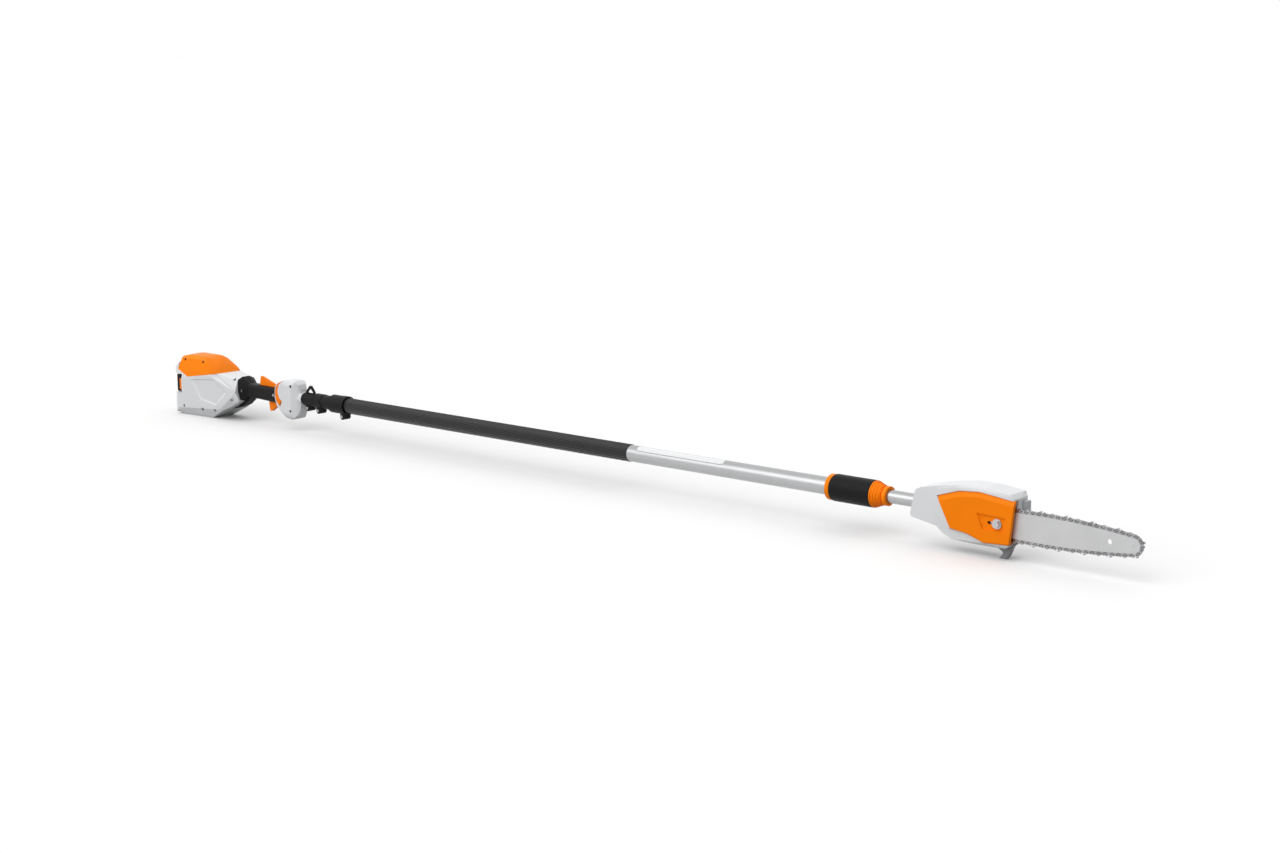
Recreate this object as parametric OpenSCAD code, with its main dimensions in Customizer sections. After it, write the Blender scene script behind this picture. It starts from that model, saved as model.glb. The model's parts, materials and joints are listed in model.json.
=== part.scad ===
// Cordless telescoping pole saw: battery housing and loop-free handle at the rear, two-stage
// aluminium pole with a twist lock, and a saw head with guide bar and quarter-inch chain.
// X runs along the pole towards the cutting head, Z is up, the near side is -Y.
// The origin is the centre of the battery housing's flat base, on the floor.

/* [Pole] */
// Height of the pole axis above the floor
axis_height = 78; // [76:1:90]
// Outside diameter of the outer tube
outer_tube_d = 34.6; // [33:0.2:37]
// Wall of both telescoping tubes
tube_wall = 1.5; // [1.2:0.1:2]
// Length of the outer tube
outer_tube_len = 1440; // [1350:10:1600]
// Radial gap between the two tubes, taken up by the guide bush and the collet
tube_gap = 3; // [2:0.1:3.4]
// Travel of the inner tube
extension = 1200; // [900:50:1250]
// Length of inner tube that stays inside the outer tube when extended
tube_overlap = 120; // [100:10:160]
// Length of bare inner tube between the lock and the head when collapsed
bare_inner = 65; // [60:1:90]
// Outside diameter of the rear tube in the handle
rear_tube_d = 26; // [24:0.5:28]

/* [Grip sleeve] */
// Thickness of the anti-slip hose on the outer tube
hose_wall = 1.1; // [0.8:0.1:2]
// Length of the anti-slip hose
hose_len = 874; // [700:2:900]

/* [Battery housing] */
// Length of the flat base
base_len = 100; // [92:2:108]
// Overhang of the rear lip behind the base
rear_overhang = 31; // [28:1:36]
// Length of the housing from the rear lip to the handle
housing_len = 231; // [225:1:245]
// Width of the housing at its widest
housing_w = 100; // [98:1:110]
// Width of the battery
battery_w = 76; // [70:1:78]
// Height of the battery
battery_h = 76; // [70:1:77]
// Length of the battery
battery_len = 126; // [118:1:130]
// Thickness of the control board
board_t = 1.6; // [1:0.2:2.4]

/* [Handle] */
// Length of the handle between the housing and the control hood
handle_len = 121; // [115:1:135]
// Width of the handle
handle_w = 33; // [30:1:34]
// Width of the trigger
trigger_w = 10; // [8:1:14]
// Width of the lockout lever
lockout_w = 6; // [5:1:10]
// Length of the control hood
hood_len = 85; // [80:1:95]
// Width of the control hood
hood_w = 41; // [40:1:48]
// Swing of the retaining latch in degrees
latch_swing = 7; // [5:1:9]

/* [Clamps] */
// Wall of the two small clamps round the rear tube
clamp_wall = 2.4; // [2:0.2:4]
// Wall of the large collar round the outer tube
collar_wall = 4.6; // [3.5:0.2:6]
// Length of the carrying-eye clamp
eye_clamp_len = 40; // [38:1:46]
// Length of the large collar
collar_len = 52; // [46:1:60]
// Diameter of the pinch screws
pinch_d = 4; // [3:0.5:5]

/* [Twist lock] */
// Length of the turning grip
lock_grip_len = 93; // [80:1:110]
// Outside diameter of the turning grip
lock_grip_d = 53; // [50:1:58]
// Length of the ribbed cone
cone_len = 32; // [28:1:40]
// Number of ribs on the cone
cone_ribs = 4; // [3:1:5]

/* [Saw head] */
// Length of the head housing
head_len = 217; // [214:1:230]
// Depth of the head on the far side of the pole axis
head_far = 30; // [29:1:36]
// Distance of the guide bar's middle plane from the pole axis
bar_offset = 17; // [16:0.5:18]
// Distance of the sprocket cover's face from the guide bar's middle plane
cover_standoff = 13; // [12:0.5:16]
// Diameter of the bar stud
stud_d = 8; // [6:0.5:9]
// Diameter of the motor's stator
stator_d = 52; // [44:1:56]
// Diameter of the motor shaft
shaft_d = 8; // [6:0.5:9]

/* [Bar and chain] */
// Length of guide bar in front of the head
bar_len = 247; // [200:5:300]
// Thickness of the guide bar
bar_t = 3.2; // [2.8:0.1:4]
// Thickness of a drive link
gauge = 1.1; // [1:0.1:1.3]
// Chain pitch, half the distance between every third rivet
pitch = 6.35; // [6:0.05:6.6]
// Height of the bar at its tail
bar_tail_h = 47; // [44:1:50]
// Radius of the bar nose
bar_nose_r = 14; // [13:0.5:15]
// Number of teeth on the drive sprocket
sprocket_teeth = 8; // [7:1:8]
// Number of teeth on the nose sprocket
nose_teeth = 9; // [7:1:10]

/* [Hidden] */
$fn = 48;

fit = 0.1;      // radial clearance between round pieces that hold each other
slack = 0.3;    // clearance of pieces that slide or swing

az = axis_height;
near = -1;
far = 1;

// Stations along the pole
rear_x = -base_len / 2 - rear_overhang;
front_x = rear_x + housing_len;
hood_x = front_x + handle_len;
hood_end = hood_x + hood_len;
neck_len = 6;
eye_x = hood_end + neck_len + slack;
mid_x = eye_x + eye_clamp_len + 3;
mid_clamp_len = 26;
mid_band_len = 31;
collar_x = mid_x + mid_clamp_len + mid_band_len + slack;
collar_end = collar_x + collar_len;
collar_lip = 4;
outer_x = collar_x + collar_lip;
outer_end = outer_x + outer_tube_len;
lock_ring_len = 9;
lock_x = outer_end - lock_ring_len;
grip_x = lock_x + lock_ring_len + slack;
grip_end = grip_x + lock_grip_len;
cone_x = grip_end + slack;
cone_end = cone_x + cone_len;
head_x = cone_end + bare_inner;
socket_depth = 44;
inner_end = head_x + socket_depth;
inner_x = outer_end - extension - tube_overlap;
head_end = head_x + head_len;

outer_r = outer_tube_d / 2;
outer_bore = outer_r - tube_wall;
inner_r = outer_bore - tube_gap;
inner_bore = inner_r - tube_wall;
rear_r = rear_tube_d / 2;
rear_wall = 2;
hose_r = outer_r + hose_wall;

// ---------- helpers ----------

module side(y0, y1) translate([0, y1, 0]) rotate([90, 0, 0]) linear_extrude(y1 - y0) children();
module cross_x(x0, x1) translate([x0, 0, 0]) rotate([90, 0, 90]) linear_extrude(x1 - x0) children();
module plan(z0, z1) translate([0, 0, z0]) linear_extrude(z1 - z0) children();
module box(a, b) translate(a) cube(b - a);
module rod_x(x0, x1, r) translate([x0, 0, az]) rotate([0, 90, 0]) cylinder(h = x1 - x0, r = r);
module rod_y(x, z, y0, y1, r) translate([x, y1, z]) rotate([90, 0, 0]) cylinder(h = y1 - y0, r = r);
module rod_z(x, y, z0, z1, r) translate([x, y, z0]) cylinder(h = z1 - z0, r = r);
module ring_x(x0, x1, r_out, r_in) difference() {
    rod_x(x0, x1, r_out);
    rod_x(x0 - 1, x1 + 1, r_in);
}
module ring_y(x, z, y0, y1, r_out, r_in) difference() {
    rod_y(x, z, y0, y1, r_out);
    rod_y(x, z, y0 - 1, y1 + 1, r_in);
}
// The half of a shell on one side of the parting plane y = 0
module half(s) intersection() {
    children();
    box([rear_x - 50, s < 0 ? -200 : 0, -10], [head_end + 200, s < 0 ? 0 : 200, 400]);
}

// Removes what lies outside the plane through p, q and r; the outside is away from the inner point c
module shave(p, q, r, c) {
    n0 = unit(cross(q - p, r - p));
    n = n0 * (c - p) > 0 ? -n0 : n0;
    translate(p) rotate([0, acos(n.z), atan2(n.y, n.x)]) translate([-200, -200, 0]) cube([400, 400, 90]);
}
// The same on the near side and, mirrored, on the far side
module shave_both(p, q, r, c) for (s = [0, 1]) mirror([0, s, 0]) shave(p, q, r, c);

function unit(v) = v / norm(v);
function inward(a, b) = unit([a.y - b.y, b.x - a.x]);
// A counterclockwise outline moved inwards by d
function inset(p, d) = [for (i = [0 : len(p) - 1])
    let (a = p[(i + len(p) - 1) % len(p)], b = p[i], c = p[(i + 1) % len(p)],
        m = inward(a, b), n = inward(b, c))
    b + (m + n) * d / (1 + m * n)];
// One corner b between a and c as an arc of radius r
function fillet(a, b, c, r, n) =
    let (u = unit(a - b), w = unit(c - b), h = acos(u * w) / 2,
        d = min(r / tan(h), 0.45 * norm(a - b), 0.45 * norm(c - b)), q = d * tan(h),
        o = b + unit(u + w) * q / sin(h), s = b + u * d - o, e = b + w * d - o,
        a0 = atan2(s.y, s.x), turn = (atan2(e.y, e.x) - a0 + 540) % 360 - 180)
    [for (i = [0 : n]) o + q * [cos(a0 + turn * i / n), sin(a0 + turn * i / n)]];
// A closed outline with every corner rounded
function rounded(p, r, n = 4) = [for (i = [0 : len(p) - 1])
    each fillet(p[(i + len(p) - 1) % len(p)], p[i], p[(i + 1) % len(p)], r, n)];
function mirrored(p) = concat(p, [for (i = [len(p) - 1 : -1 : 0]) [p[i].x, -p[i].y]]);
// The same for an outline whose first coordinate is mirrored
function mirrored_z(p) = concat(p, [for (i = [len(p) - 1 : -1 : 0]) [-p[i].x, p[i].y]]);
function around(p, c) = [for (q = p) q + c];
function box2(w, h) = [[-w, -h], [w, -h], [w, h], [-w, h]];

// A countersunk hole along Y for a case screw, from the near face inwards
screw_r = 2;
screw_head_r = 3;
screw_head_t = 2.6;
screw_hole_r = screw_head_r + 2 * slack;
module case_screw(x, z, y_seat, len) difference() {
    union() {
        rod_y(x, z, y_seat - screw_head_t, y_seat, screw_head_r);
        rod_y(x, z, y_seat - 0.01, y_seat + len, screw_r);
    }
    translate([x, y_seat - screw_head_t + 1.6, z]) rotate([90, 0, 0])
        cylinder(h = 4, r = 1.6, $fn = 6);
}
module case_screw_hole(x, z, y_face, y_seat, len) {
    rod_y(x, z, y_face, y_seat, screw_hole_r);
    rod_y(x, z, y_seat - 1, y_seat + len + slack, screw_r + fit);
}

// ---------- battery housing ----------

housing_half = housing_w / 2;
seam_low = [rear_x + 53, az + 18];      // lowest corner of the top cover's edge
seam_rear = [rear_x + 12.5, az + 33];
seam_front = [rear_x + 155, az + 34];
notch_x = rear_x + 31;                  // forward end of the side notch that bares the battery
notch_low = az - 24;
notch_top = az + 22;
// Side view of the lower housing, without the top cover
housing_side = [[rear_x + 5, 5], [-base_len / 2, 0], [base_len / 2, 0], [rear_x + 178, az - 54],
    [front_x - 26, az - 42], [front_x - 2, az - 28], [front_x - 9, az + 31],
    [seam_front.x + 20, az + 35], seam_front, seam_low, seam_rear, [rear_x + 11, az + 50],
    [rear_x, az + 36], [rear_x + 7, az + 24]];
front_half = housing_half - 12;
housing_plan = mirrored([[rear_x, -housing_half + 6], [rear_x + 21, -housing_half],
    [front_x + 1, -front_half]]);
housing_cross = [[-housing_half, 0], [housing_half, 0], [housing_half, az + 8],
    [housing_half - 7, az + 34], [housing_half - 16, az + 62], [-housing_half + 16, az + 62],
    [-housing_half + 7, az + 34], [-housing_half, az + 8]];
// Corners of the facets at the front of the near side
facet_seam = [seam_front.x + 2, -housing_half + 14, az + 34];
facet_tip = [front_x - 5, -front_half, az - 4];
facet_low = [rear_x + 185, -front_half - 3, az - 39];
facet_top = [front_x - 12, -26, az + 25];
facet_crown = [front_x - 11, -11, az + 31];
facet_bottom = [front_x - 4, -28, az - 28];
core = [0, 0, az];

bay_z = 16;
bay_x = rear_x + 11;
bay_end = bay_x + battery_len + slack;
bay_half = battery_w / 2 + slack;
bay_top = bay_z + battery_h + 2 * slack;
contact_t = 7;
board_x = bay_end + contact_t + 3;
board_len = 40;
board_w = 46;
board_z = az - 14;
upstand_half = housing_half - 22;
upstand_top = az + 62;
upstand_x = [rear_x + 24, rear_x + 104];

lever_pivot = [notch_x + 25, bay_half + 4.2];
lever_z = [az - 16, az + 11];
lever_end = notch_x - 8;
lever_half = 1.3;
lever_nose = 4.2;
lever_pin_r = 1.5;
lever_swing = 5;
pocket_half = lever_pivot.y + lever_half + (lever_pivot.x - notch_x + 1) * tan(lever_swing) + slack;

cover_screw_at = [[rear_x + 32, az + 58], [rear_x + 103, az + 58]];
cover_seat = -upstand_half - 3.5;
// X, Z, Y of the seat and length of each screw of the lower housing; the first two end in the wall
shell_screws = [[rear_x + 39, az - 56, -housing_half + 7.5, 3],
    [rear_x + 106, az - 58, -housing_half + 9.5, 1.6],
    [rear_x + 149, az - 57, -housing_half + 15, 43], [front_x - 18, az + 24, -housing_half + 29, 29],
    [front_x - 21, az - 25, -housing_half + 24, 34]];
screw_reach = 8;                        // how far a handle screw goes past the parting plane
// Shallow hexagonal panel in each side wall
panel = [[rear_x + 70, az + 11.5], [rear_x + 103, az - 33], [rear_x + 154, az - 41],
    [rear_x + 192, az - 9], [rear_x + 146, az + 19.5]];
panel_depth = 2;
panel_slope = 2.2;
side_a = atan2(housing_half - front_half, front_x + 1 - rear_x - 21);

module housing_envelope() intersection() {
    side(-housing_half, housing_half) polygon(housing_side);
    plan(0, az + 70) polygon(housing_plan);
    cross_x(rear_x, front_x + 1) polygon(housing_cross);
}

// The pocket of one battery lever, with its swing outwards
module lever_pocket(s) {
    y0 = s * (bay_half - 1);
    y1 = s * pocket_half;
    box([notch_x - 1, min(y0, y1), lever_z[0] - slack],
        [lever_pivot.x + 4, max(y0, y1), lever_z[1] + slack]);
}

module housing_solid() difference() {
    union() {
        housing_envelope();
        // central upstand that carries the top cover
        box([upstand_x[0], -upstand_half, az], [upstand_x[1], upstand_half, upstand_top]);
    }
    shave_both(facet_seam, facet_tip, facet_top, core);
    shave_both(facet_seam, facet_top, facet_crown, core);
    shave_both(facet_tip, facet_low, facet_bottom, core);
    // inward slope above the foot
    shave_both([rear_x + 29, -housing_half, az - 60], [rear_x + 156, -front_half - 8, az - 46],
        [0, -housing_half + 10, az - 70], core);
    for (s = [0, 1]) mirror([0, s, 0]) translate([rear_x + 21, -housing_half, 0]) rotate([0, 0, side_a])
        hull() {
            side(-panel_depth, 0.01) polygon(inset(around(panel, [-rear_x - 21, 0]), -panel_slope));
            side(panel_depth - 0.01, panel_depth)
                polygon(inset(around(panel, [-rear_x - 21, 0]), panel_slope / 2));
        }
    // battery bay, open to the rear
    box([rear_x - 5, -bay_half, bay_z], [bay_end, bay_half, bay_top]);
    // finger notches in both side walls
    box([rear_x - 5, -housing_w, notch_low], [notch_x, housing_w, notch_top]);
    lever_pocket(near);
    lever_pocket(far);
    for (s = [near, far])
        rod_z(lever_pivot.x, s * lever_pivot.y, lever_z[0] - 4, lever_z[1] + 4, lever_pin_r + fit);
    // room for the contact block and the control board
    box([bay_end - 1, -26, az - 34], [bay_end + contact_t, 26, az + 4]);
    box([bay_end + contact_t - 1, -board_w / 2 - slack, board_z - 16],
        [board_x + board_len + slack, board_w / 2 + slack, board_z + 24]);
    for (p = shell_screws)
        case_screw_hole(p[0], p[1], -housing_w, p[2], p[3]);
    for (p = cover_screw_at)
        case_screw_hole(p.x, p.y, -housing_w, cover_seat, 14);
}

module housing_left() color("gainsboro") half(far) housing_solid();
module housing_right() color("gainsboro") half(near) housing_solid();

cover_side = concat([seam_rear, seam_low, seam_front],
    [[seam_front.x - 28, az + 60], [seam_front.x - 56, az + 69],
    [rear_x + 80, az + 72.5], [rear_x + 43, az + 71.5], [rear_x + 19, az + 65]]);
cover_plan = mirrored([[seam_rear.x, -housing_half + 7], [rear_x + 36, -housing_half + 1],
    [rear_x + 110, -housing_half + 3], [seam_front.x + 3, -housing_half + 13]]);
cover_cross = [[-housing_half, az + 8], [housing_half, az + 8],
    [housing_half - 7, az + 34], [housing_half - 16, az + 62], [housing_half - 26, az + 69],
    [0, az + 72.5], [-housing_half + 26, az + 69], [-housing_half + 16, az + 62],
    [-housing_half + 7, az + 34]];

module cover_form(d) intersection() {
    side(-housing_half, housing_half) polygon(d > 0 ? inset(cover_side, d) : cover_side);
    plan(az, az + 80) polygon(inset(cover_plan, d));
    cross_x(rear_x, front_x) polygon(inset(cover_cross, d));
}
module top_cover() color("darkorange") difference() {
    cover_form(0);
    // facet that falls away to the front
    shave_both(facet_seam, [rear_x + 114, -housing_half + 15, az + 60], [rear_x + 114, 0, az + 67], core);
    // hollow inside, open below towards the housing
    intersection() {
        box([upstand_x[0] - slack, -upstand_half - slack, az],
            [upstand_x[1] + slack, upstand_half + slack, upstand_top + slack]);
        cover_form(0);
    }
    for (p = cover_screw_at)
        case_screw_hole(p.x, p.y, -housing_w, cover_seat, 14);
}

module housing_screws() color("dimgray") {
    for (p = shell_screws)
        case_screw(p[0], p[1], p[2], p[3]);
    for (p = cover_screw_at)
        case_screw(p.x, p.y, cover_seat, 14);
}

battery_x = bay_x;
cap_end = lever_end - 1;                // where the rear cap meets the case
grip_half = housing_half - 5;
rail_depth = 4.4;
rail_z = [az - 18, az + 13];
blade_y = [-15, -5, 5, 15];
blade_t = 1.6;
blade_len = 12;
module battery() color("black") difference() {
    box([cap_end, -battery_w / 2, bay_z + slack],
        [battery_x + battery_len, battery_w / 2, bay_z + slack + battery_h]);
    // guide grooves along both sides, where the levers' noses lie
    for (s = [near, far])
        box([cap_end - 1, min(s * battery_w, s * (battery_w / 2 - rail_depth)), rail_z[0]],
            [battery_x + battery_len + 1, max(s * battery_w, s * (battery_w / 2 - rail_depth)), rail_z[1]]);
    // slots for the contact blades
    for (y = blade_y)
        box([battery_x + battery_len - blade_len - 2, y - blade_t / 2 - 0.5, az - 30],
            [battery_x + battery_len + 1, y + blade_t / 2 + 0.5, az]);
}

// Rear cap of the battery, with the wider grip that fills the side notches
module battery_cap() color("black") difference() {
    union() {
        box([battery_x, -battery_w / 2, bay_z + slack], [cap_end, battery_w / 2, bay_z + slack + battery_h]);
        side(-grip_half, grip_half) polygon([[battery_x - 6, notch_low + 2], [cap_end, notch_low + 2],
            [cap_end, notch_top - 2], [battery_x - 3, notch_top - 2]]);
    }
    // finger recess in the rear face
    side(-22, 22) polygon(rounded([[battery_x - 7, bay_z + 8], [battery_x + 3, bay_z + 8],
        [battery_x + 8, bay_z + 26], [battery_x + 5, bay_z + 32], [battery_x - 7, bay_z + 32]], 2));
    // bevelled rear corners of the grip
    for (s = [near, far])
        plan(0, 2 * az) polygon([[battery_x - 7, s * (grip_half - 6)], [battery_x, s * (grip_half + 1)],
            [battery_x - 7, s * (grip_half + 1)]]);
}

// Locking lever in plan: a bar inside the side wall, with a thumb pad and an inward nose at its end
module battery_lever(s) {
    y0 = lever_pivot.y - lever_half;
    y1 = lever_pivot.y + lever_half;
    difference() {
        mirror([0, s < 0 ? 1 : 0, 0]) {
            plan(lever_z[0], lever_z[1]) polygon([[lever_end, housing_half - 2], [lever_end, y0],
                [lever_pivot.x, y0], [lever_pivot.x, y1],
                [lever_end + 6.5, y1], [lever_end + 6.5, housing_half - 2]]);
            plan(lever_z[0] + 4, lever_z[1] - 6) polygon([[lever_end, y0 + 0.5],
                [lever_end + 1, y0 - lever_nose], [lever_end + 4, y0 - lever_nose],
                [lever_end + 6.5, y0 + 0.5]]);
            rod_z(lever_pivot.x, lever_pivot.y, lever_z[0], lever_z[1], 3.2);
        }
        rod_z(lever_pivot.x, s * lever_pivot.y, lever_z[0] - 1, lever_z[1] + 1, lever_pin_r + fit);
    }
}
module battery_lever_left() color("darkorange") battery_lever(far);
module battery_lever_right() color("darkorange") battery_lever(near);
module lever_pins() color("silver") for (s = [near, far])
    rod_z(lever_pivot.x, s * lever_pivot.y, lever_z[0] - 3.6, lever_z[1] + 3.6, lever_pin_r);

module battery_contacts() color("dimgray") {
    box([bay_end, -25.7, az - 33.7], [bay_end + contact_t - slack, 25.7, az + 3.7]);
    for (y = blade_y)
        box([bay_end - blade_len + 1, y - blade_t / 2, az - 28], [bay_end + 1, y + blade_t / 2, az - 2]);
}

module control_board() color("darkgreen") {
    box([board_x, -board_w / 2, board_z], [board_x + board_len, board_w / 2, board_z + board_t]);
    // two capacitors, a heat sink with fins and a plug
    for (s = [near, far])
        rod_z(board_x + 10, s * 13, board_z + board_t - 0.1, board_z + board_t + 16, 5);
    box([board_x + 20, -16, board_z + board_t - 0.1], [board_x + 36, 16, board_z + board_t + 3]);
    for (i = [0 : 4])
        box([board_x + 20 + 3.6 * i, -16, board_z + board_t + 2.9],
            [board_x + 21.6 + 3.6 * i, 16, board_z + board_t + 12]);
    box([board_x + 2, -6, board_z - 8], [board_x + 14, 6, board_z + 0.1]);
}

// ---------- handle ----------

handle_half = handle_w / 2;
// Cross-section of the flange on the housing
flange = mirrored_z([[-18, az - 31], [-28, az - 27], [-31, az - 3], [-26, az + 25], [-11, az + 31]]);
lockout_half = lockout_w / 2;
trigger_half = trigger_w / 2;
control_x = hood_x - 4;                 // forward limit of the moving controls
trigger_pivot = [control_x - 5, az - 10];
lockout_pivot = [control_x - 6, az + 9];
pin_r = 2;

// Cross-section of the handle, rounded like a grip
module grip_section(x, t, w, z0, z1) cross_x(x, x + t)
    polygon(rounded(around(box2(w, (z1 - z0) / 2), [0, (z0 + z1) / 2]), w * 0.55, 5));

module handle_form() difference() {
    union() {
        hull() {
            grip_section(front_x + 12, 1, handle_half, az - 16, az + 16.5);
            grip_section(hood_x - 60, 1, handle_half - 0.5, az - 18, az + 16.5);
            grip_section(hood_x - 1, 1, handle_half, az - 20, az + 16.5);
        }
        hull() {
            cross_x(front_x - 12, front_x - 9) polygon(rounded(flange, 3, 2));
            grip_section(front_x + 16, 1, handle_half, az - 16, az + 16.5);
        }
        // keel under the front of the housing
        side(-11, 11) polygon([[front_x - 66, az - 57], [front_x - 21, az - 46], [front_x, az - 37],
            [front_x + 13, az - 25], [front_x + 20, az - 14], [front_x - 6, az - 20],
            [front_x - 26, az - 38]]);
    }
    // the housing's own form is cut away so that both meet face to face
    side(-housing_w, housing_w) polygon(housing_side);
}

module handle_solid() difference() {
    handle_form();
    // cavity for the switch and the controls
    side(-trigger_half - slack, trigger_half + slack)
        polygon([[hood_x - 78, az - 14], [hood_x - 41, az - 14], [hood_x - 41, az - 60],
            [hood_x - 1, az - 60], [hood_x - 1, az + 12], [hood_x - 78, az + 12]]);
    side(-lockout_half - slack, lockout_half + slack)
        polygon([[hood_x - 78, az + 11], [hood_x - 1, az + 11], [hood_x - 1, az + 60],
            [hood_x - 78, az + 60]]);
    for (p = [trigger_pivot, lockout_pivot])
        rod_y(p.x, p.y, -handle_half + 3, handle_half - 3, pin_r + fit);
    for (p = handle_screw_at)
        case_screw_hole(p.x, p.y, -housing_w, p.z, screw_reach - p.z);
}
handle_screw_at = [[front_x + 2, az - 1, -22], [control_x - 4, az - 0.5, -handle_half + 2]];
module handle_left() color("#222222") half(far) handle_solid();
module handle_right() color("#222222") half(near) handle_solid();
module handle_screws() color("silver") for (p = handle_screw_at)
    case_screw(p.x, p.y, p.z, screw_reach - p.z);

module trigger() color("orangered") difference() {
    side(-trigger_half, trigger_half) union() {
        polygon(rounded([[hood_x - 38, az - 12], [hood_x - 38, az - 24], [hood_x - 35, az - 41],
            [hood_x - 31, az - 43.5], [hood_x - 11, az - 30], trigger_pivot + [3.6, 0],
            trigger_pivot + [0, 3.6]], 2));
        translate(trigger_pivot) circle(4);
    }
    rod_y(trigger_pivot.x, trigger_pivot.y, -trigger_w, trigger_w, pin_r + fit);
}
module lockout_lever() color("orangered") difference() {
    side(-lockout_half, lockout_half) union() {
        polygon(rounded([[hood_x - 74, az + 13], [lockout_pivot.x, az + 5],
            [lockout_pivot.x + 4, az + 9], [hood_x - 11, az + 21], [hood_x - 65, az + 38],
            [hood_x - 69, az + 38]], 1.5));
        translate(lockout_pivot) circle(4);
    }
    rod_y(lockout_pivot.x, lockout_pivot.y, -lockout_w, lockout_w, pin_r + fit);
}
module control_pins() color("silver") for (p = [trigger_pivot, lockout_pivot])
    rod_y(p.x, p.y, -handle_half + 3 + fit, handle_half - 3 - fit, pin_r);
module trigger_switch() color("black") {
    box([hood_x - 77.7, -trigger_half, az - 14], [hood_x - 50, trigger_half, az - 2]);
    box([hood_x - 50.1, -3, az - 12], [hood_x - 39.7, 3, az - 7]);
}

// ---------- control hood ----------

hood_half = hood_w / 2;
hood_side = rounded([[hood_x, az - 4], [hood_x + 9, az - 23], [hood_x + 25, az - 38],
    [hood_x + 42, az - 51], [hood_x + 54, az - 54], [hood_x + 67, az - 50], [hood_x + 80, az - 37],
    [hood_end, az - 22], [hood_end, az + 22], [hood_x + 80, az + 33], [hood_x + 68, az + 41],
    [hood_x + 48, az + 42.5], [hood_x + 26, az + 39], [hood_x + 12, az + 32], [hood_x + 3, az + 20],
    [hood_x, az + 8]], 6);
hood_plan = mirrored([[hood_x - 2, -hood_half + 2], [hood_x + 6, -hood_half],
    [hood_x + 62, -hood_half], [hood_x + 76, -hood_half + 6], [hood_end, -9]]);
hood_cross = rounded([[-hood_half, az - 56], [hood_half, az - 56], [hood_half, az + 44],
    [-hood_half, az + 44]], 17);
// The retaining latch is a crescent that swings about its outer edge's centre
latch_centre = [hood_x + 35, az + 5];
latch_r = 32;
latch_inner_centre = latch_centre + [3, 7];
latch_inner_r = 25.5;
latch_from = 76;
latch_to = 236;
tube_seat_x = hood_x + 40;

// Sector of angles a0 to a1 about the latch's centre
module latch_sector(a0, a1) polygon(concat([latch_centre],
    [for (i = [0 : 8]) latch_centre + 2 * latch_r * dir(a0 + (a1 - a0) * i / 8)]));
module latch_shape() intersection() {
    difference() {
        translate(latch_centre) circle(latch_r);
        translate(latch_inner_centre) circle(latch_inner_r);
    }
    latch_sector(latch_from, latch_to);
}
module latch_room() intersection() {
    difference() {
        translate(latch_centre) circle(latch_r + slack);
        // what stays clear of the latch in both end positions
        intersection_for (a = [0, latch_swing])
            translate(latch_centre) rotate(a) translate(latch_inner_centre - latch_centre)
                circle(latch_inner_r - slack);
    }
    latch_sector(latch_from - 1, latch_to + latch_swing + 1);
}
module hood_form() intersection() {
    side(-hood_half, hood_half) polygon(hood_side);
    plan(0, 2 * az) polygon(hood_plan);
    cross_x(hood_x - 2, hood_end + 1) polygon(hood_cross);
}
module hood_solid() difference() {
    union() {
        hood_form();
        rod_x(hood_end - 8, hood_end + neck_len, rear_r + 2.4);
    }
    side(-hood_w, hood_w) latch_room();
    rod_x(tube_seat_x, hood_end + 40, rear_r + fit);
    for (p = hood_screw_at)
        case_screw_hole(p.x, p.y, -hood_w, -hood_half + 4, 28);
}
hood_screw_at = [[hood_x + 60, az + 28], [hood_x + 58, az - 32]];
module hood_left() color("gainsboro") half(far) hood_solid();
module hood_right() color("gainsboro") half(near) hood_solid();
module hood_screws() color("dimgray") for (p = hood_screw_at)
    case_screw(p.x, p.y, -hood_half + 4, 28);
module retaining_latch() color("orangered") intersection() {
    side(-hood_half + 0.5, hood_half - 0.5) latch_shape();
    hood_form();
}

// ---------- clamps and tubes ----------

module rear_tube() color("silver") ring_x(tube_seat_x, collar_end + 10, rear_r, rear_r - rear_wall);

clamp_r = rear_r + fit + clamp_wall;
mid_clamp_r = clamp_r + 2;
ear_t = 8.5;
ear_gap = 3;
ear_r = 7.5;
// Pinch ears under a clamp ring of radius r
module ears(x, r) for (s = [near, far])
    side(s < 0 ? -ear_gap / 2 - ear_t : ear_gap / 2, s < 0 ? -ear_gap / 2 : ear_gap / 2 + ear_t)
        union() {
            translate([x, az - r - 4]) circle(ear_r);
            translate([x - ear_r, az - r - 4]) square([2 * ear_r, r / 2 + 4]);
        }
module clamp_ring(x0, x1, ear_x, r_out, r_in) difference() {
    union() {
        rod_x(x0, x1, r_out);
        ears(ear_x, r_out);
        children();
    }
    rod_x(x0 - 1, x1 + mid_band_len + 1, r_in);
    // slit between the ears
    box([x0 - 1, -ear_gap / 2, az - r_out - 20], [x1 + 1, ear_gap / 2, az]);
    rod_y(ear_x, az - r_out - 4, -40, 40, pinch_d / 2 + fit);
}
eye_ear_x = eye_x + 18;
mid_ear_x = mid_x + 13;
collar_ear_x = collar_end - 12;
collar_r = outer_r + fit + collar_wall;
eye_t = 6;
eye_apex = [eye_x + 20, az + rear_r + 23];
eye_foot_z = az + rear_r - 1;
module eye_clamp() color("#1c1c1c")
    clamp_ring(eye_x, eye_x + eye_clamp_len, eye_ear_x, clamp_r, rear_r + fit)
        difference() {
            side(-eye_t / 2, eye_t / 2)
                polygon(rounded([[eye_x - 1, eye_foot_z], [eye_x + eye_clamp_len, eye_foot_z], eye_apex], 5));
            side(-eye_t, eye_t) polygon(rounded([[eye_x + 6, az + clamp_r + slack],
                [eye_x + eye_clamp_len - 7, az + clamp_r + slack], eye_apex - [0, 8]], 1.5));
        }
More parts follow.
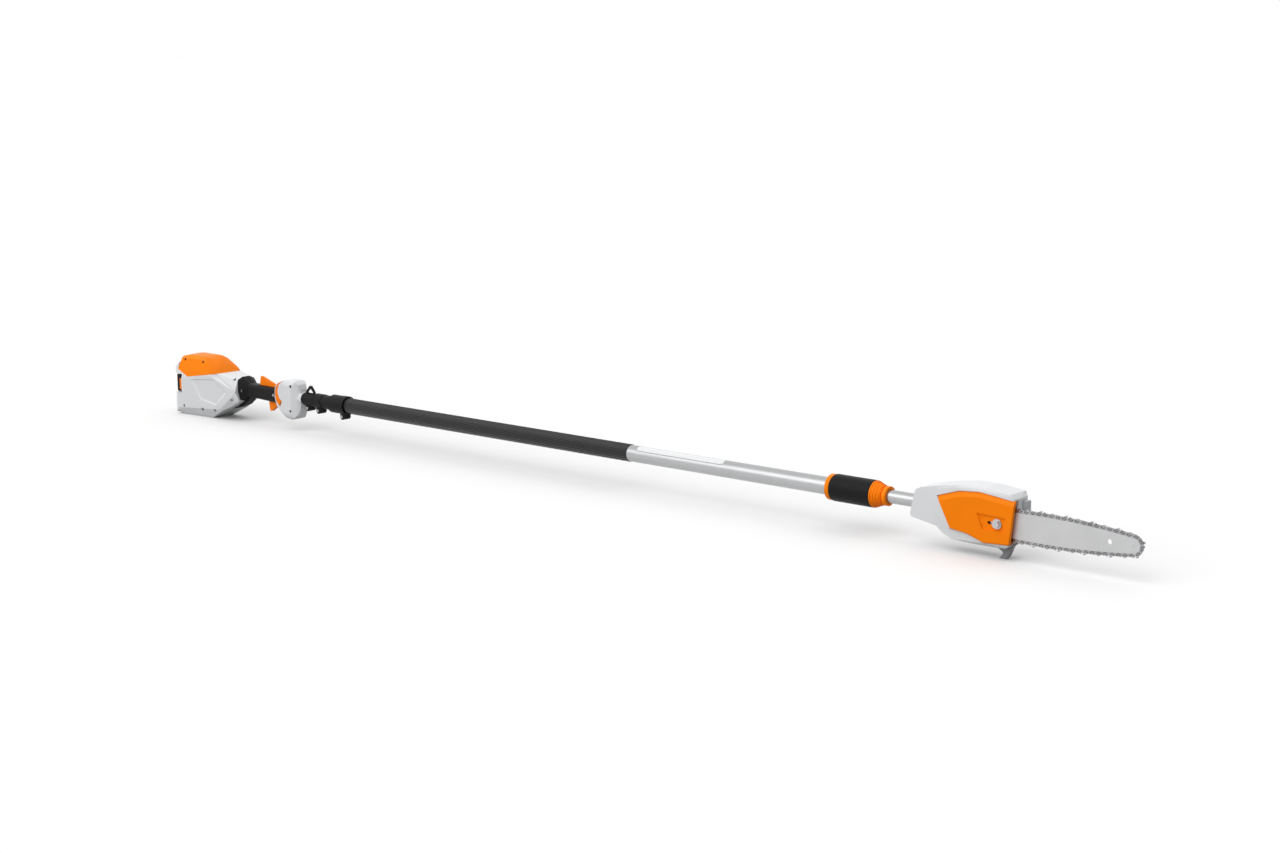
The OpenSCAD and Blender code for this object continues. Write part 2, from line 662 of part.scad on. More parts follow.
module middle_clamp() color("#1c1c1c")
    clamp_ring(mid_x, mid_x + mid_clamp_len, mid_ear_x, mid_clamp_r, rear_r + fit)
        rod_x(mid_x + mid_clamp_len - 0.1, mid_x + mid_clamp_len + mid_band_len, mid_clamp_r - 1);
module pole_collar() color("#1c1c1c") difference() {
    union() {
        rod_x(collar_x, collar_end, collar_r - 0.8);
        rod_x(collar_end - 16, collar_end, collar_r);
        ears(collar_ear_x, collar_r);
    }
    rod_x(outer_x, collar_end + 30, outer_r + fit);
    rod_x(collar_x - 1, outer_x + 1, rear_r + fit);
    box([outer_x, -ear_gap / 2, az - collar_r - 20], [collar_end + 1, ear_gap / 2, az]);
    rod_y(collar_ear_x, az - collar_r - 4, -40, 40, pinch_d / 2 + fit);
}
module adapter_bush() color("dimgray")
    ring_x(outer_x + 2, collar_end + 8, outer_bore - fit, rear_r + fit);
// Three pinch screws with cap heads and nuts
module pinch_screws() color("silver")
    for (p = [[eye_ear_x, clamp_r], [mid_ear_x, mid_clamp_r], [collar_ear_x, collar_r]]) {
        z = az - p[1] - 4;
        outer = ear_gap / 2 + ear_t;
        difference() {
            union() {
                rod_y(p[0], z, -outer - 0.1, outer + pinch_d, pinch_d / 2);
                rod_y(p[0], z, -outer - pinch_d * 0.6, -outer, pinch_d * 0.85);
                translate([p[0], outer + pinch_d * 0.8, z]) rotate([90, 0, 0])
                    cylinder(h = pinch_d * 0.8, r = pinch_d, $fn = 6);
            }
            translate([p[0], -outer, z]) rotate([90, 0, 0])
                cylinder(h = pinch_d, r = pinch_d * 0.4, $fn = 6);
        }
    }

module outer_tube() color("silver") ring_x(outer_x, outer_end, outer_r, outer_bore);
module grip_hose() color("#2a2a2a") ring_x(collar_end + slack, collar_end + hose_len, hose_r, outer_r + fit);

// ---------- twist lock ----------

grip_r = lock_grip_d / 2;
lock_sleeve_r = outer_r + 4;
collet_r = inner_r + 4.4;
cone_end_r = inner_r + 3;
module lock_base() color("darkorange") difference() {
    union() {
        rod_x(lock_x, lock_x + lock_ring_len, grip_r - 1);
        rod_x(lock_x, cone_x + 8, lock_sleeve_r);
    }
    rod_x(lock_x - 1, outer_end + slack, outer_r + fit);
    rod_x(lock_x - 1, cone_x + 9, collet_r + fit);
}
module lock_grip() color("#222222") difference() {
    // body with softly rounded ends
    translate([grip_x, 0, az]) rotate([0, 90, 0]) rotate_extrude() polygon(concat(
        [[0, 0]], fillet([0, 0], [grip_r, 0], [grip_r, 20], 3, 4),
        fillet([grip_r, 20], [grip_r, lock_grip_len], [0, lock_grip_len], 2, 4),
        [[0, lock_grip_len]]));
    rod_x(grip_x - 1, grip_end + 1, lock_sleeve_r + slack);
}
rib_step = (grip_r - 0.6 - cone_end_r) / (cone_ribs + 1);
cone_neck = 11;
rib_pitch = (cone_len - cone_neck) / cone_ribs;
module lock_cone() color("darkorange") difference() {
    union() {
        for (i = [0 : cone_ribs - 1]) {
            r = grip_r - 0.4 - i * rib_step;
            rod_x(cone_x + i * rib_pitch, cone_x + (i + 0.55) * rib_pitch, r);
            rod_x(cone_x + i * rib_pitch, cone_x + (i + 1) * rib_pitch + 0.1, r - 1.6);
        }
        rod_x(cone_end - cone_neck - 0.1, cone_end, cone_end_r);
        rod_x(cone_end - 8, cone_end, cone_end_r + 3);
    }
    rod_x(cone_x - 1, cone_x + 8 + slack, lock_sleeve_r + fit);
    rod_x(cone_x, cone_end + 1, inner_r + slack);
}
// Split collet that grips the inner tube
module lock_collet() color("dimgray") difference() {
    ring_x(outer_end + 1, cone_x + 7.5, collet_r, inner_r + slack);
    for (a = [0 : 60 : 300])
        translate([0, 0, az]) rotate([a, 0, 0])
            box([outer_end + 20, -0.8, 0], [cone_x + 9, 0.8, collet_r + 2]);
}
module inner_tube() color("silver") ring_x(inner_x, inner_end, inner_r, inner_bore);
module guide_bush() color("dimgray") {
    ring_x(inner_x - 3, inner_x + 30, outer_bore - slack, inner_r + fit);
    ring_x(inner_x - 3, inner_x, outer_bore - slack, inner_bore);
}

// ---------- saw head ----------

bar_y = -bar_offset;
bar_z = az - 11;
cover_y = bar_y - cover_standoff;
cover_plate_t = 2.5;
wall_y = bar_y + 8;                     // wall of the head behind the chain
deck_y = bar_y + bar_t / 2;             // pad of the head that the bar lies on
near_rim_y = cover_y + 3;
stud_x = head_x + 185;
sprocket_x = stud_x - 37;
nose_x = head_end + bar_len - bar_nose_r;
tail_x = stud_x + 17;
pin_back = 14;                          // distance of the guide pin behind the stud
shaft_r = shaft_d / 2;
stator_r = stator_d / 2;
bearing_r = shaft_r + 4;
motor_y = [wall_y + 8, head_far - 10];
motor_cavity_y = [wall_y + 5, head_far - 8];

head_side = [[head_x - 7, az - 21], [head_x - 3, az - 26.5], [head_x + 55, az - 34.5],
    [head_x + 67, az - 44.5], [head_x + 88, az - 54], [head_x + 140, az - 57],
    [head_end - 18, az - 56], [head_end - 3, az - 46],
    [head_end, az - 20], [head_end, az + 37], [head_end - 9, az + 45], [head_end - 60, az + 52],
    [head_x + 122, az + 52], [head_x + 58, az + 42], [head_x + 16, az + 32.5], [head_x + 5, az + 27],
    [head_x + 2, az + 19]];
head_plan = [[head_x - 8, -20], [head_x + 26, -22], [head_x + 58, near_rim_y], [head_end + 1, near_rim_y],
    [head_end + 1, head_far - 8], [head_end - 8, head_far], [head_x + 70, head_far],
    [head_x + 36, head_far - 4], [head_x - 8, 20]];
head_cross = rounded([[near_rim_y, az - 58], [head_far, az - 58], [head_far, az + 53],
    [near_rim_y, az + 53]], 11);
cover_outline = [[head_x + 86, az - 34], [head_x + 122, az - 38], [head_x + 158, az - 50],
    [head_end - 6, az - 47], [head_end + 3, az + 34], [head_x + 146, az + 42],
    [head_x + 102, az + 38], [head_x + 56, az + 23]];
tank_x = [head_end - 44, head_end + 9];
tank_y = [6, head_far - 10];
tank_z = [az + 9, az + 31];
filler = [head_end - 23, az + 20];
filler_r = 9;
head_screw_at = [[head_x + 24, az + 23, 15], [head_x + 26, az - 24, 15],
    [head_x + 96, az - 44, head_far - 8], [head_x + 100, az + 38, head_far - 8],
    [head_end - 14, az - 40, head_far - 12]];
tension_z = bar_z - 14;
tension_x = stud_x + 4;
tension_y = (deck_y + wall_y) / 2;
pump_box = [[stud_x - 18, wall_y + 4, az - 50], [stud_x + 6, wall_y + 20, az - 40]];

// Raised rim round the sprocket cover
rim_step = 2;
rim_outline = [[head_x + 78, az - 33], [head_x + 120, az - 42], [head_x + 156, az - 54.5],
    [head_end - 18, az - 58], [head_end + 5, az - 58], [head_end + 5, az + 40],
    [head_end - 30, az + 50.5], [head_x + 135, az + 53], [head_x + 82, az + 43],
    [head_x + 50, az + 33], [head_x + 42, az + 21], [head_x + 51, az - 7.5]];

module head_envelope() difference() {
    intersection() {
        side(near_rim_y, head_far) polygon(rounded(head_side, 5, 3));
        plan(0, 2 * az) polygon(head_plan);
        cross_x(head_x - 10, head_end) polygon(head_cross);
    }
    difference() {
        box([head_x - 20, near_rim_y - 1, 0], [head_end + 5, near_rim_y + rim_step, 2 * az]);
        side(near_rim_y - 2, near_rim_y + rim_step + 1) polygon(rim_outline);
    }
}
module head_solid() difference() {
    union() {
        difference() {
            head_envelope();
            // chain compartment behind the sprocket cover, open to the front
            side(-60, wall_y) polygon(inset(cover_outline, -slack));
            box([head_end - 16, -60, az - 48], [head_end + 20, wall_y, az + 34]);
            // motor room
            rod_y(sprocket_x, bar_z, motor_cavity_y[0], motor_cavity_y[1], stator_r + fit);
        }
        // pad for the bar, and the lug of the tensioner
        box([stud_x - 16, deck_y, bar_z - 10], [head_end - 5, wall_y + 0.1, bar_z + 15]);
        box([tension_x + 7, deck_y + 1, tension_z - 3.4], [tension_x + 12, wall_y + 0.1, bar_z - 9.9]);
    }
    rod_x(head_x - 9, inner_end + 0.2, inner_r + fit);
    rod_y(sprocket_x, bar_z, wall_y - 1, motor_cavity_y[0] + 1, shaft_r + slack);
    rod_y(sprocket_x, bar_z, wall_y + 1.4, motor_cavity_y[0] + 1, bearing_r + fit);
    rod_y(sprocket_x, bar_z, motor_cavity_y[1] - 1, motor_cavity_y[1] + 5, bearing_r + fit);
    rod_y(stud_x, bar_z, deck_y - 1, wall_y + 10, stud_d / 2 + fit);
    translate([tension_x - 20, tension_y, tension_z]) rotate([0, 90, 0])
        cylinder(h = 60, r = 2 + fit);
    box([tank_x[0] - 0.2, tank_y[0] - 0.2, tank_z[0] - 0.2],
        [head_end + 20, tank_y[1] + 0.2, tank_z[1] + 0.2]);
    rod_y(filler.x, filler.y, tank_y[1] - 1, head_far + 1, filler_r + fit);
    box([pump_box[0].x - 0.2, pump_box[0].y - 0.2, pump_box[0].z - 0.2],
        [pump_box[1].x + 0.2, pump_box[1].y + 0.2, pump_box[1].z + 0.2]);
    mirror([0, 1, 0]) for (p = head_screw_at)
        case_screw_hole(p.x, p.y, -head_far - 5, -p.z, 24);
}
module head_near() color("gainsboro") half(near) head_solid();
module head_far_shell() color("gainsboro") half(far) head_solid();
module head_screws() color("dimgray") mirror([0, 1, 0]) for (p = head_screw_at)
    case_screw(p.x, p.y, -p.z, 24);

recess_x = [head_x + 155, head_x + 143];
recess = [[recess_x[0], az - 24], [head_end - 13, az - 24], [head_end - 14, az + 2],
    [recess_x[1], az + 4]];
recess_depth = 3.5;
chamfer_drop = 9;
chamfer_in = 5;
chain_room = 5.2;                       // from the bar's middle plane to the cover's front edge
// Outline of the cover, moved inwards by d, with its upper edge bevelled towards the near face
module cover_body(d) difference() {
    side(d > 0 ? cover_y + cover_plate_t : cover_y, d > 0 ? wall_y + 1 : wall_y - slack / 2)
        polygon(inset(cover_outline, d));
    for (i = [4 : 6]) {
        a = cover_outline[i];
        b = cover_outline[i + 1];
        // staggered a little, so that no four faces meet in one point
        y = cover_y + chamfer_in + d / 2 + 0.1 * (i - 4);
        shave([a.x, y, a.y - d], [b.x, y, b.y - d], [a.x, y - chamfer_in, a.y - chamfer_drop - d],
            [stud_x - 30, y, az]);
    }
}
module sprocket_cover() color("darkorange") difference() {
    union() {
        difference() {
            cover_body(0);
            difference() {
                cover_body(cover_plate_t);
                // floor of the nut's recess
                side(cover_y - 1, cover_y + recess_depth + cover_plate_t)
                    polygon(inset(recess, -cover_plate_t));
            }
            // the bar and the chain leave through the front and the lower corner
            box([head_end - 9, bar_y - chain_room, az - 60], [head_end + 20, wall_y + 1, az + 27]);
            box([head_end - 7, cover_y + 9, az + 20], [head_end + 20, wall_y + 1, az + 50]);
        }
        // boss that presses on the bar
        rod_y(stud_x, bar_z, cover_y + recess_depth, bar_y - bar_t / 2, 10);
    }
    side(cover_y - 1, cover_y + recess_depth) polygon(recess);
    rod_y(stud_x, bar_z, -60, 0, stud_d / 2 + slack);
    // oblong window that shows the guide pin
    for (d = [0, 4]) rod_y(stud_x - pin_back - d, bar_z, cover_y - 1, cover_y + 9, 3);
}

// ---------- guide bar and chain ----------

rivet_drop = 3.35;                      // height of the rivet line above the bar's rail
tang = 6.2;
strap_t = 1;
strap_gap = 0.05;
rivet_r = 1.2;
belly_r = 1500;
sprocket_r = pitch / (2 * sin(90 / sprocket_teeth));
tail_r = bar_tail_h / 2 + rivet_drop;
nose_r = bar_nose_r + rivet_drop;
deg = 180 / PI;

function dir(a) = [cos(a), sin(a)];
function arc(c, r, a0, a1, n) = [for (i = [0 : n]) c + r * dir(a0 + (a1 - a0) * i / n)];
// Upper half of the chain's rivet line, measured from the bar's axis: sprocket, free run,
// tail arc, belly arc and nose arc, each tangent to the next
belly_x = (pow(belly_r - tail_r, 2) - pow(belly_r - nose_r, 2) + pow(nose_x, 2) - pow(tail_x, 2))
    / (2 * (nose_x - tail_x));
belly_drop = sqrt(pow(belly_r - tail_r, 2) - pow(belly_x - tail_x, 2));
run_a = acos((sprocket_r - tail_r) / (tail_x - sprocket_x));
tail_a = atan2(belly_drop, tail_x - belly_x);
nose_a = atan2(belly_drop, nose_x - belly_x);
arc_len = [sprocket_r * (180 - run_a) / deg,
    sqrt(pow(tail_x - sprocket_x, 2) - pow(tail_r - sprocket_r, 2)),
    tail_r * (run_a - tail_a) / deg, belly_r * (tail_a - nose_a) / deg, nose_r * nose_a / deg];
s1 = arc_len[0];
s2 = s1 + arc_len[1];
s3 = s2 + arc_len[2];
s4 = s3 + arc_len[3];
half_loop = s4 + arc_len[4];
function upper(s) =
    s < s1 ? [sprocket_x, 0] + sprocket_r * dir(180 - s / sprocket_r * deg) :
    s < s2 ? [sprocket_x, 0] + sprocket_r * dir(run_a) + (s - s1) * dir(run_a - 90) :
    s < s3 ? [tail_x, 0] + tail_r * dir(run_a - (s - s2) / tail_r * deg) :
    s < s4 ? [belly_x, -belly_drop] + belly_r * dir(tail_a - (s - s3) / belly_r * deg) :
    [nose_x, 0] + nose_r * dir(nose_a - (s - s4) / nose_r * deg);
function flip(p) = [p.x, -p.y];
// A point of the whole loop at distance s from the back of the sprocket, in X and Z
function chain_at(s) = [0, bar_z] + (s <= half_loop ? upper(s) : flip(upper(2 * half_loop - s)));
drive_count = round(half_loop / pitch);
step = half_loop / drive_count;

bar_tail_x = sprocket_x + sprocket_r + 0.6;
// Bar outline, moved outwards from its rails by d and cut off at the tail
function bar_upper(d) = concat(
    [[bar_tail_x, (tail_r - rivet_drop + d + (tail_x - bar_tail_x) * cos(run_a)) / sin(run_a)]],
    arc([tail_x, 0], tail_r - rivet_drop + d, run_a, tail_a, 2),
    arc([belly_x, -belly_drop], belly_r - rivet_drop + d, tail_a, nose_a, 10),
    arc([nose_x, 0], bar_nose_r + d, nose_a, 0, 10));
function bar_outline(d) = let (u = bar_upper(d)) around(
    concat(u, [for (i = [len(u) - 2 : -1 : 0]) flip(u[i])]), [0, bar_z]);
groove_depth = tang - rivet_drop + 0.8;
star_r = nose_r - tang - 0.6;
star_hub_r = star_r * 0.55;
nose_cavity_r = bar_nose_r - 2;
nose_pin_r = 1.5;

bar_hole_back = 45;
bar_hole_r = 4.8;
module guide_bar() color("silver") difference() {
    side(bar_y - bar_t / 2, bar_y + bar_t / 2) polygon(bar_outline(0));
    // groove for the drive links, all round the rails
    side(bar_y - gauge / 2 - fit, bar_y + gauge / 2 + fit) difference() {
        polygon(bar_outline(1));
        polygon(bar_outline(-groove_depth));
        translate([bar_tail_x - 1, bar_z - 6]) square([7, 12]);
    }
    // room for the nose sprocket
    rod_y(nose_x, bar_z, bar_y - gauge / 2 - fit, bar_y + gauge / 2 + fit, nose_cavity_r);
    // slot for the stud and the guide pin
    side(bar_y - bar_t, bar_y + bar_t) union() {
        translate([stud_x - 19, bar_z - stud_d / 2 - fit]) square([24, stud_d + 2 * fit]);
        translate([stud_x + 5, bar_z]) circle(stud_d / 2 + fit);
    }
    rod_y(tension_x, tension_z, bar_y - bar_t, bar_y + bar_t, 2.4);
    rod_y(nose_x, bar_z, bar_y - bar_t, bar_y + bar_t, nose_pin_r + fit);
    // hole near the nose
    rod_y(nose_x - bar_hole_back, bar_z, bar_y - bar_t, bar_y + bar_t, bar_hole_r);
}

// Places a flat link between rivet i and the next one; its rivets lie at 0 and at one pitch
module at_link(i) {
    a = chain_at(i * step);
    b = chain_at((i + 1) * step);
    translate((a + b) / 2) rotate(atan2(b.y - a.y, b.x - a.x)) translate([-pitch / 2, 0]) children();
}
module rivet_holes() for (x = [0, pitch]) translate([x, 0]) circle(rivet_r + 0.05, $fn = 16);
module drive_link_shape() difference() {
    union() {
        for (x = [0, pitch]) translate([x, 0]) circle(2.7, $fn = 20);
        polygon([[-2.4, -0.6], [-0.4, -3.9], [1.8, -tang], [3.5, -tang], [4.7, -4.4], [6.1, -2.5],
            [8.4, -0.6], [pitch, 2.4], [pitch / 2, 3], [0, 2.4]]);
    }
    rivet_holes();
}
module strap_shape() difference() {
    union() {
        for (x = [0, pitch]) translate([x, 0]) circle(3, $fn = 20);
        translate([0, -3]) square([pitch, 5.4]);
    }
    rivet_holes();
}
tooth_top = 5.4;
module cutter_shape() difference() {
    union() {
        for (x = [0, pitch]) translate([x, 0]) circle(3, $fn = 20);
        // the tooth at the back, the gullet and the rounded depth gauge in front
        polygon([[-2.8, 0.6], [-3.4, tooth_top - 1.2], [-3.1, tooth_top - 0.3], [1.6, tooth_top],
            [1.9, tooth_top - 1.4], [1.1, 2.8], [2.4, 2], [4.2, 2.4], [5.2, 4.2], [6, 4.7],
            [7.2, 4.2], [8.6, 2.6], [9.2, 0.6], [pitch, -3], [0, -3]]);
    }
    rivet_holes();
}
module drive_links() color("dimgray") side(bar_y - gauge / 2, bar_y + gauge / 2)
    for (i = [0 : drive_count - 1]) at_link(2 * i) drive_link_shape();

// Every second strap is paired with a cutter, on the near and the far side in turn
strap_y = gauge / 2 + strap_gap;
function is_cutter(i, s) = i % 4 == (s < 0 ? 1 : 3);
module strap_layer(s) {
    y0 = s < 0 ? bar_y - strap_y - strap_t : bar_y + strap_y;
    side(y0, y0 + strap_t) children();
}
module tie_straps() color("gray") for (s = [near, far]) strap_layer(s)
    for (i = [0 : drive_count - 1]) if (!is_cutter(i, s)) at_link(2 * i + 1) strap_shape();
cutter_reach = 2.9;
module cutters() color("silver") for (s = [near, far]) {
    strap_layer(s) for (i = [0 : drive_count - 1]) if (is_cutter(i, s))
        at_link(2 * i + 1) cutter_shape();
    // top plates, bent outwards over the side plates
    y0 = s < 0 ? bar_y - strap_y - cutter_reach : bar_y + strap_y + strap_t - 0.01;
    side(y0, y0 + cutter_reach - strap_t + 0.01)
        for (i = [0 : drive_count - 1]) if (is_cutter(i, s)) at_link(2 * i + 1)
            polygon([[-3.4, tooth_top - 1.2], [-3.1, tooth_top - 0.3], [1.6, tooth_top],
                [1.9, tooth_top - 1]]);
}
module chain_rivets() color("silver") {
    reach = strap_y + strap_t;
    for (i = [0 : 2 * drive_count - 1]) {
        p = chain_at(i * step);
        rod_y(p.x, p.y, bar_y - reach - 0.35, bar_y + reach + 0.35, rivet_r, $fn = 16);
    }
}

module nose_sprocket() color("gray") difference() {
    side(bar_y - gauge / 2, bar_y + gauge / 2) translate([nose_x, bar_z]) difference() {
        circle(star_r);
        for (i = [0 : nose_teeth - 1]) rotate(360 / nose_teeth * (i + 0.5))
            translate([star_r + 0.6, 0]) circle(1.9, $fn = 20);
    }
    rod_y(nose_x, bar_z, bar_y - 3, bar_y + 3, star_hub_r + fit);
}
module nose_bearing() color("silver") {
    rod_y(nose_x, bar_z, bar_y - gauge / 2 - fit, bar_y + gauge / 2 + fit, star_hub_r);
    rod_y(nose_x, bar_z, bar_y - bar_t / 2, bar_y + bar_t / 2, nose_pin_r);
}

rim_r = sprocket_r * cos(90 / sprocket_teeth) - rivet_drop - slack;
rim_t = 2.8;
web_r = sprocket_r - tang - 1;
module rim_sprocket() color("gray") difference() {
    union() {
        for (s = [near, far]) {
            y0 = s < 0 ? bar_y - gauge / 2 - slack - rim_t : bar_y + gauge / 2 + slack;
            rod_y(sprocket_x, bar_z, y0, y0 + rim_t, rim_r);
        }
        rod_y(sprocket_x, bar_z, bar_y - rim_t, wall_y - 1, web_r);
    }
    for (i = [0 : sprocket_teeth - 1]) rotate_about(sprocket_x, bar_z, 360 / sprocket_teeth * i)
        rod_y(sprocket_x + rim_r - 0.6, bar_z, bar_y - 10, bar_y + gauge / 2 + slack + rim_t + 0.5, 1.5);
    rod_y(sprocket_x, bar_z, -60, 60, shaft_r + 0.01);
}
module rotate_about(x, z, a) translate([x, 0, z]) rotate([0, a, 0]) translate([-x, 0, -z]) children();
module sprocket_clip() color("dimgray") {
    y0 = bar_y - gauge / 2 - slack - rim_t;
    ring_y(sprocket_x, bar_z, y0 - 1, y0, shaft_r + 4, shaft_r + 0.05);
    difference() {
        rod_y(sprocket_x, bar_z, y0 - 2.1, y0 - 1.1, shaft_r + 2);
        rod_y(sprocket_x, bar_z, y0 - 3, y0, shaft_r + 0.05);
        box([sprocket_x, y0 - 4, bar_z - 2], [sprocket_x + 20, y0 - 1.1, bar_z + 2]);
    }
}

// ---------- motor and fittings of the head ----------

rotor_r = stator_r * 0.55;
air_gap = 0.5;
module motor_rotor() color("gray") {
    rod_y(sprocket_x, bar_z, bar_y - gauge / 2 - slack - rim_t - 3, motor_cavity_y[1] + 4.6, shaft_r);
    rod_y(sprocket_x, bar_z, motor_y[0], motor_y[1], rotor_r);
}
slots = 9;
module motor_stator() color("peru") difference() {
    rod_y(sprocket_x, bar_z, motor_y[0], motor_y[1], stator_r);
    rod_y(sprocket_x, bar_z, motor_y[0] - 1, motor_y[1] + 1, rotor_r + air_gap);
    // winding slots
    for (i = [0 : slots - 1]) rotate_about(sprocket_x, bar_z, 360 / slots * i) {
        rod_y(sprocket_x + stator_r * 0.78, bar_z, motor_y[0] - 1, motor_y[1] + 1, stator_r * 0.12);
        box([sprocket_x + rotor_r, motor_y[0] - 1, bar_z - 0.8],
            [sprocket_x + stator_r * 0.78, motor_y[1] + 1, bar_z + 0.8]);
    }
}
module motor_bearings() color("silver") {
    ring_y(sprocket_x, bar_z, wall_y + 1.5, wall_y + 5, bearing_r, shaft_r + fit);
    ring_y(sprocket_x, bar_z, motor_cavity_y[1] + 0.5, motor_cavity_y[1] + 4.9, bearing_r, shaft_r + fit);
}

nut_seat = cover_y + recess_depth;
module bar_stud() color("silver") {
    rod_y(stud_x, bar_z, nut_seat - 6, wall_y + 9, stud_d / 2);
    rod_y(stud_x - pin_back, bar_z, bar_y - bar_t / 2 - 2.5, deck_y, stud_d / 2 - 0.5);
}
module bar_nut() color("silver") difference() {
    union() {
        rod_y(stud_x, bar_z, nut_seat - 2.4, nut_seat, stud_d / 2 + 5.4);
        translate([stud_x, nut_seat - 2.3, bar_z]) rotate([90, 0, 0])
            cylinder(h = 5.7, r = stud_d / 2 + 3.4, $fn = 6);
    }
    rod_y(stud_x, bar_z, nut_seat - 6.2, nut_seat + 1, stud_d / 2 + 0.05);
}
module tensioner() color("dimgray") {
    // slide with its pin in the bar's hole
    difference() {
        union() {
            box([tension_x - 4, deck_y + 0.2, tension_z - 3.6],
                [tension_x + 4, wall_y - 0.3, tension_z + 3.6]);
            rod_y(tension_x, tension_z, bar_y - bar_t / 2 + 0.4, deck_y + 0.3, 2.2);
        }
        translate([tension_x - 6, tension_y, tension_z]) rotate([0, 90, 0]) cylinder(h = 12, r = 2 + fit);
    }
    // tensioning screw
    translate([tension_x - 6, tension_y, tension_z]) rotate([0, 90, 0]) difference() {
        union() {
            cylinder(h = head_end - tension_x + 3, r = 2);
            translate([0, 0, head_end - tension_x]) cylinder(h = 3, r = 2.9);
        }
        translate([-0.5, -4, head_end - tension_x + 2]) cube([1, 8, 4]);
    }
}

hook_t = 10;
module branch_hook() color("lightgray") difference() {
    side(wall_y, wall_y + hook_t) polygon(concat(
        [[head_end - 37, 0], [head_end - 23, 0], [head_end - 17, az - 72], [head_end - 14, az - 65],
            [head_end - 9, az - 53], [head_end + 3, az - 43.5], [head_end, az - 36],
            [head_end - 50, az - 36], [head_end - 46, az - 58], [head_end - 37, az - 61]],
        fillet([head_end - 37, az - 61], [head_end - 26, az - 67], [head_end - 37.5, 2], 7, 6)));
    side(-60, 60) polygon(rounded(head_side, 5, 3));
}

module oil_tank() color("lightgray") {
    box([tank_x[0], tank_y[0], tank_z[0]], [tank_x[1], tank_y[1], tank_z[1]]);
    difference() {
        rod_y(filler.x, filler.y, tank_y[1] - 0.1, head_far + 6, filler_r);
        rod_y(filler.x, filler.y, tank_y[1], head_far + 7, filler_r - 1.6);
    }
}
cap_r = 14;
cap_knurls = 16;
module oil_cap() color("#222222") difference() {
    rod_y(filler.x, filler.y, head_far + slack, head_far + 11, cap_r);
    rod_y(filler.x, filler.y, head_far, head_far + 6 + slack, filler_r + slack);
    for (i = [0 : cap_knurls - 1]) rotate_about(filler.x, filler.y, 360 / cap_knurls * i)
        rod_y(filler.x + cap_r + 0.8, filler.y, head_far - 1, head_far + 12, 1.7);
    // grip bar left standing between two scoops
    for (s = [near, far]) side(head_far + 8, head_far + 12)
        translate([filler.x, filler.y + s * 6.5]) circle(4.6);
}
module oil_pump() color("dimgray") box(pump_box[0], pump_box[1]);

housing_left();
housing_right();
top_cover();
housing_screws();
battery();
battery_cap();
battery_lever_left();
battery_lever_right();
lever_pins();
battery_contacts();
control_board();
handle_left();
handle_right();
handle_screws();
trigger();
lockout_lever();
control_pins();
trigger_switch();
hood_left();
hood_right();
hood_screws();
retaining_latch();
rear_tube();
eye_clamp();
middle_clamp();
pole_collar();
adapter_bush();
pinch_screws();
outer_tube();
grip_hose();
lock_base();
lock_grip();
lock_cone();
lock_collet();
inner_tube();
guide_bush();
head_near();
head_far_shell();
head_screws();
sprocket_cover();
guide_bar();
drive_links();
tie_straps();
cutters();
chain_rivets();
nose_sprocket();
nose_bearing();
rim_sprocket();
sprocket_clip();
motor_rotor();
motor_stator();
motor_bearings();
bar_stud();
bar_nut();
tensioner();
branch_hook();
oil_tank();
oil_cap();
oil_pump();
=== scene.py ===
import json
import math

import bmesh
import bpy
from mathutils import Matrix, Vector
from mathutils.bvhtree import BVHTree


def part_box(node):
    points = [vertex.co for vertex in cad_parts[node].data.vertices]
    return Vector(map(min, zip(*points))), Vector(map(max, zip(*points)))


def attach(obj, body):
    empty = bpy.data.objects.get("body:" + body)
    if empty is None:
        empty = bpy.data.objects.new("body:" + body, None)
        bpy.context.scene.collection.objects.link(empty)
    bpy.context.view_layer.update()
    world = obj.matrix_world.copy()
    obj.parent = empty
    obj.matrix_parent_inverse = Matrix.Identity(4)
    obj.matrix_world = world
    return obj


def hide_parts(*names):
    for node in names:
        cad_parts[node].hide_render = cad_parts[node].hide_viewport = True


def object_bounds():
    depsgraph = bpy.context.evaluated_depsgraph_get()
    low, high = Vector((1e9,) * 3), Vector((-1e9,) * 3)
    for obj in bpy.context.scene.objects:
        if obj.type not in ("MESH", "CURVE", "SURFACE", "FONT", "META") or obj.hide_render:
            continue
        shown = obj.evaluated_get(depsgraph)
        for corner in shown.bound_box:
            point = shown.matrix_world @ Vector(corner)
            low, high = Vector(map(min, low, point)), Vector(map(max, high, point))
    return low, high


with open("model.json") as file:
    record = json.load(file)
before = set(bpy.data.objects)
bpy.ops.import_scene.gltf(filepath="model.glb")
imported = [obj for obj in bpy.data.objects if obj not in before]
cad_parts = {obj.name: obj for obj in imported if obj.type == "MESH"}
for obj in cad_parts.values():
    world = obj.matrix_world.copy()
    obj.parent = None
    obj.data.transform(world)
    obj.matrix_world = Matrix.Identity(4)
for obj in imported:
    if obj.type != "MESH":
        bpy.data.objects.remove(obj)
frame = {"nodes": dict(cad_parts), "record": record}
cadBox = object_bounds()
axisHeight = 0.078  # height of the pole's axis above the floor
print("frame loaded:", len(frame["nodes"]), "nodes")

# Camera, lamps, sky and floor

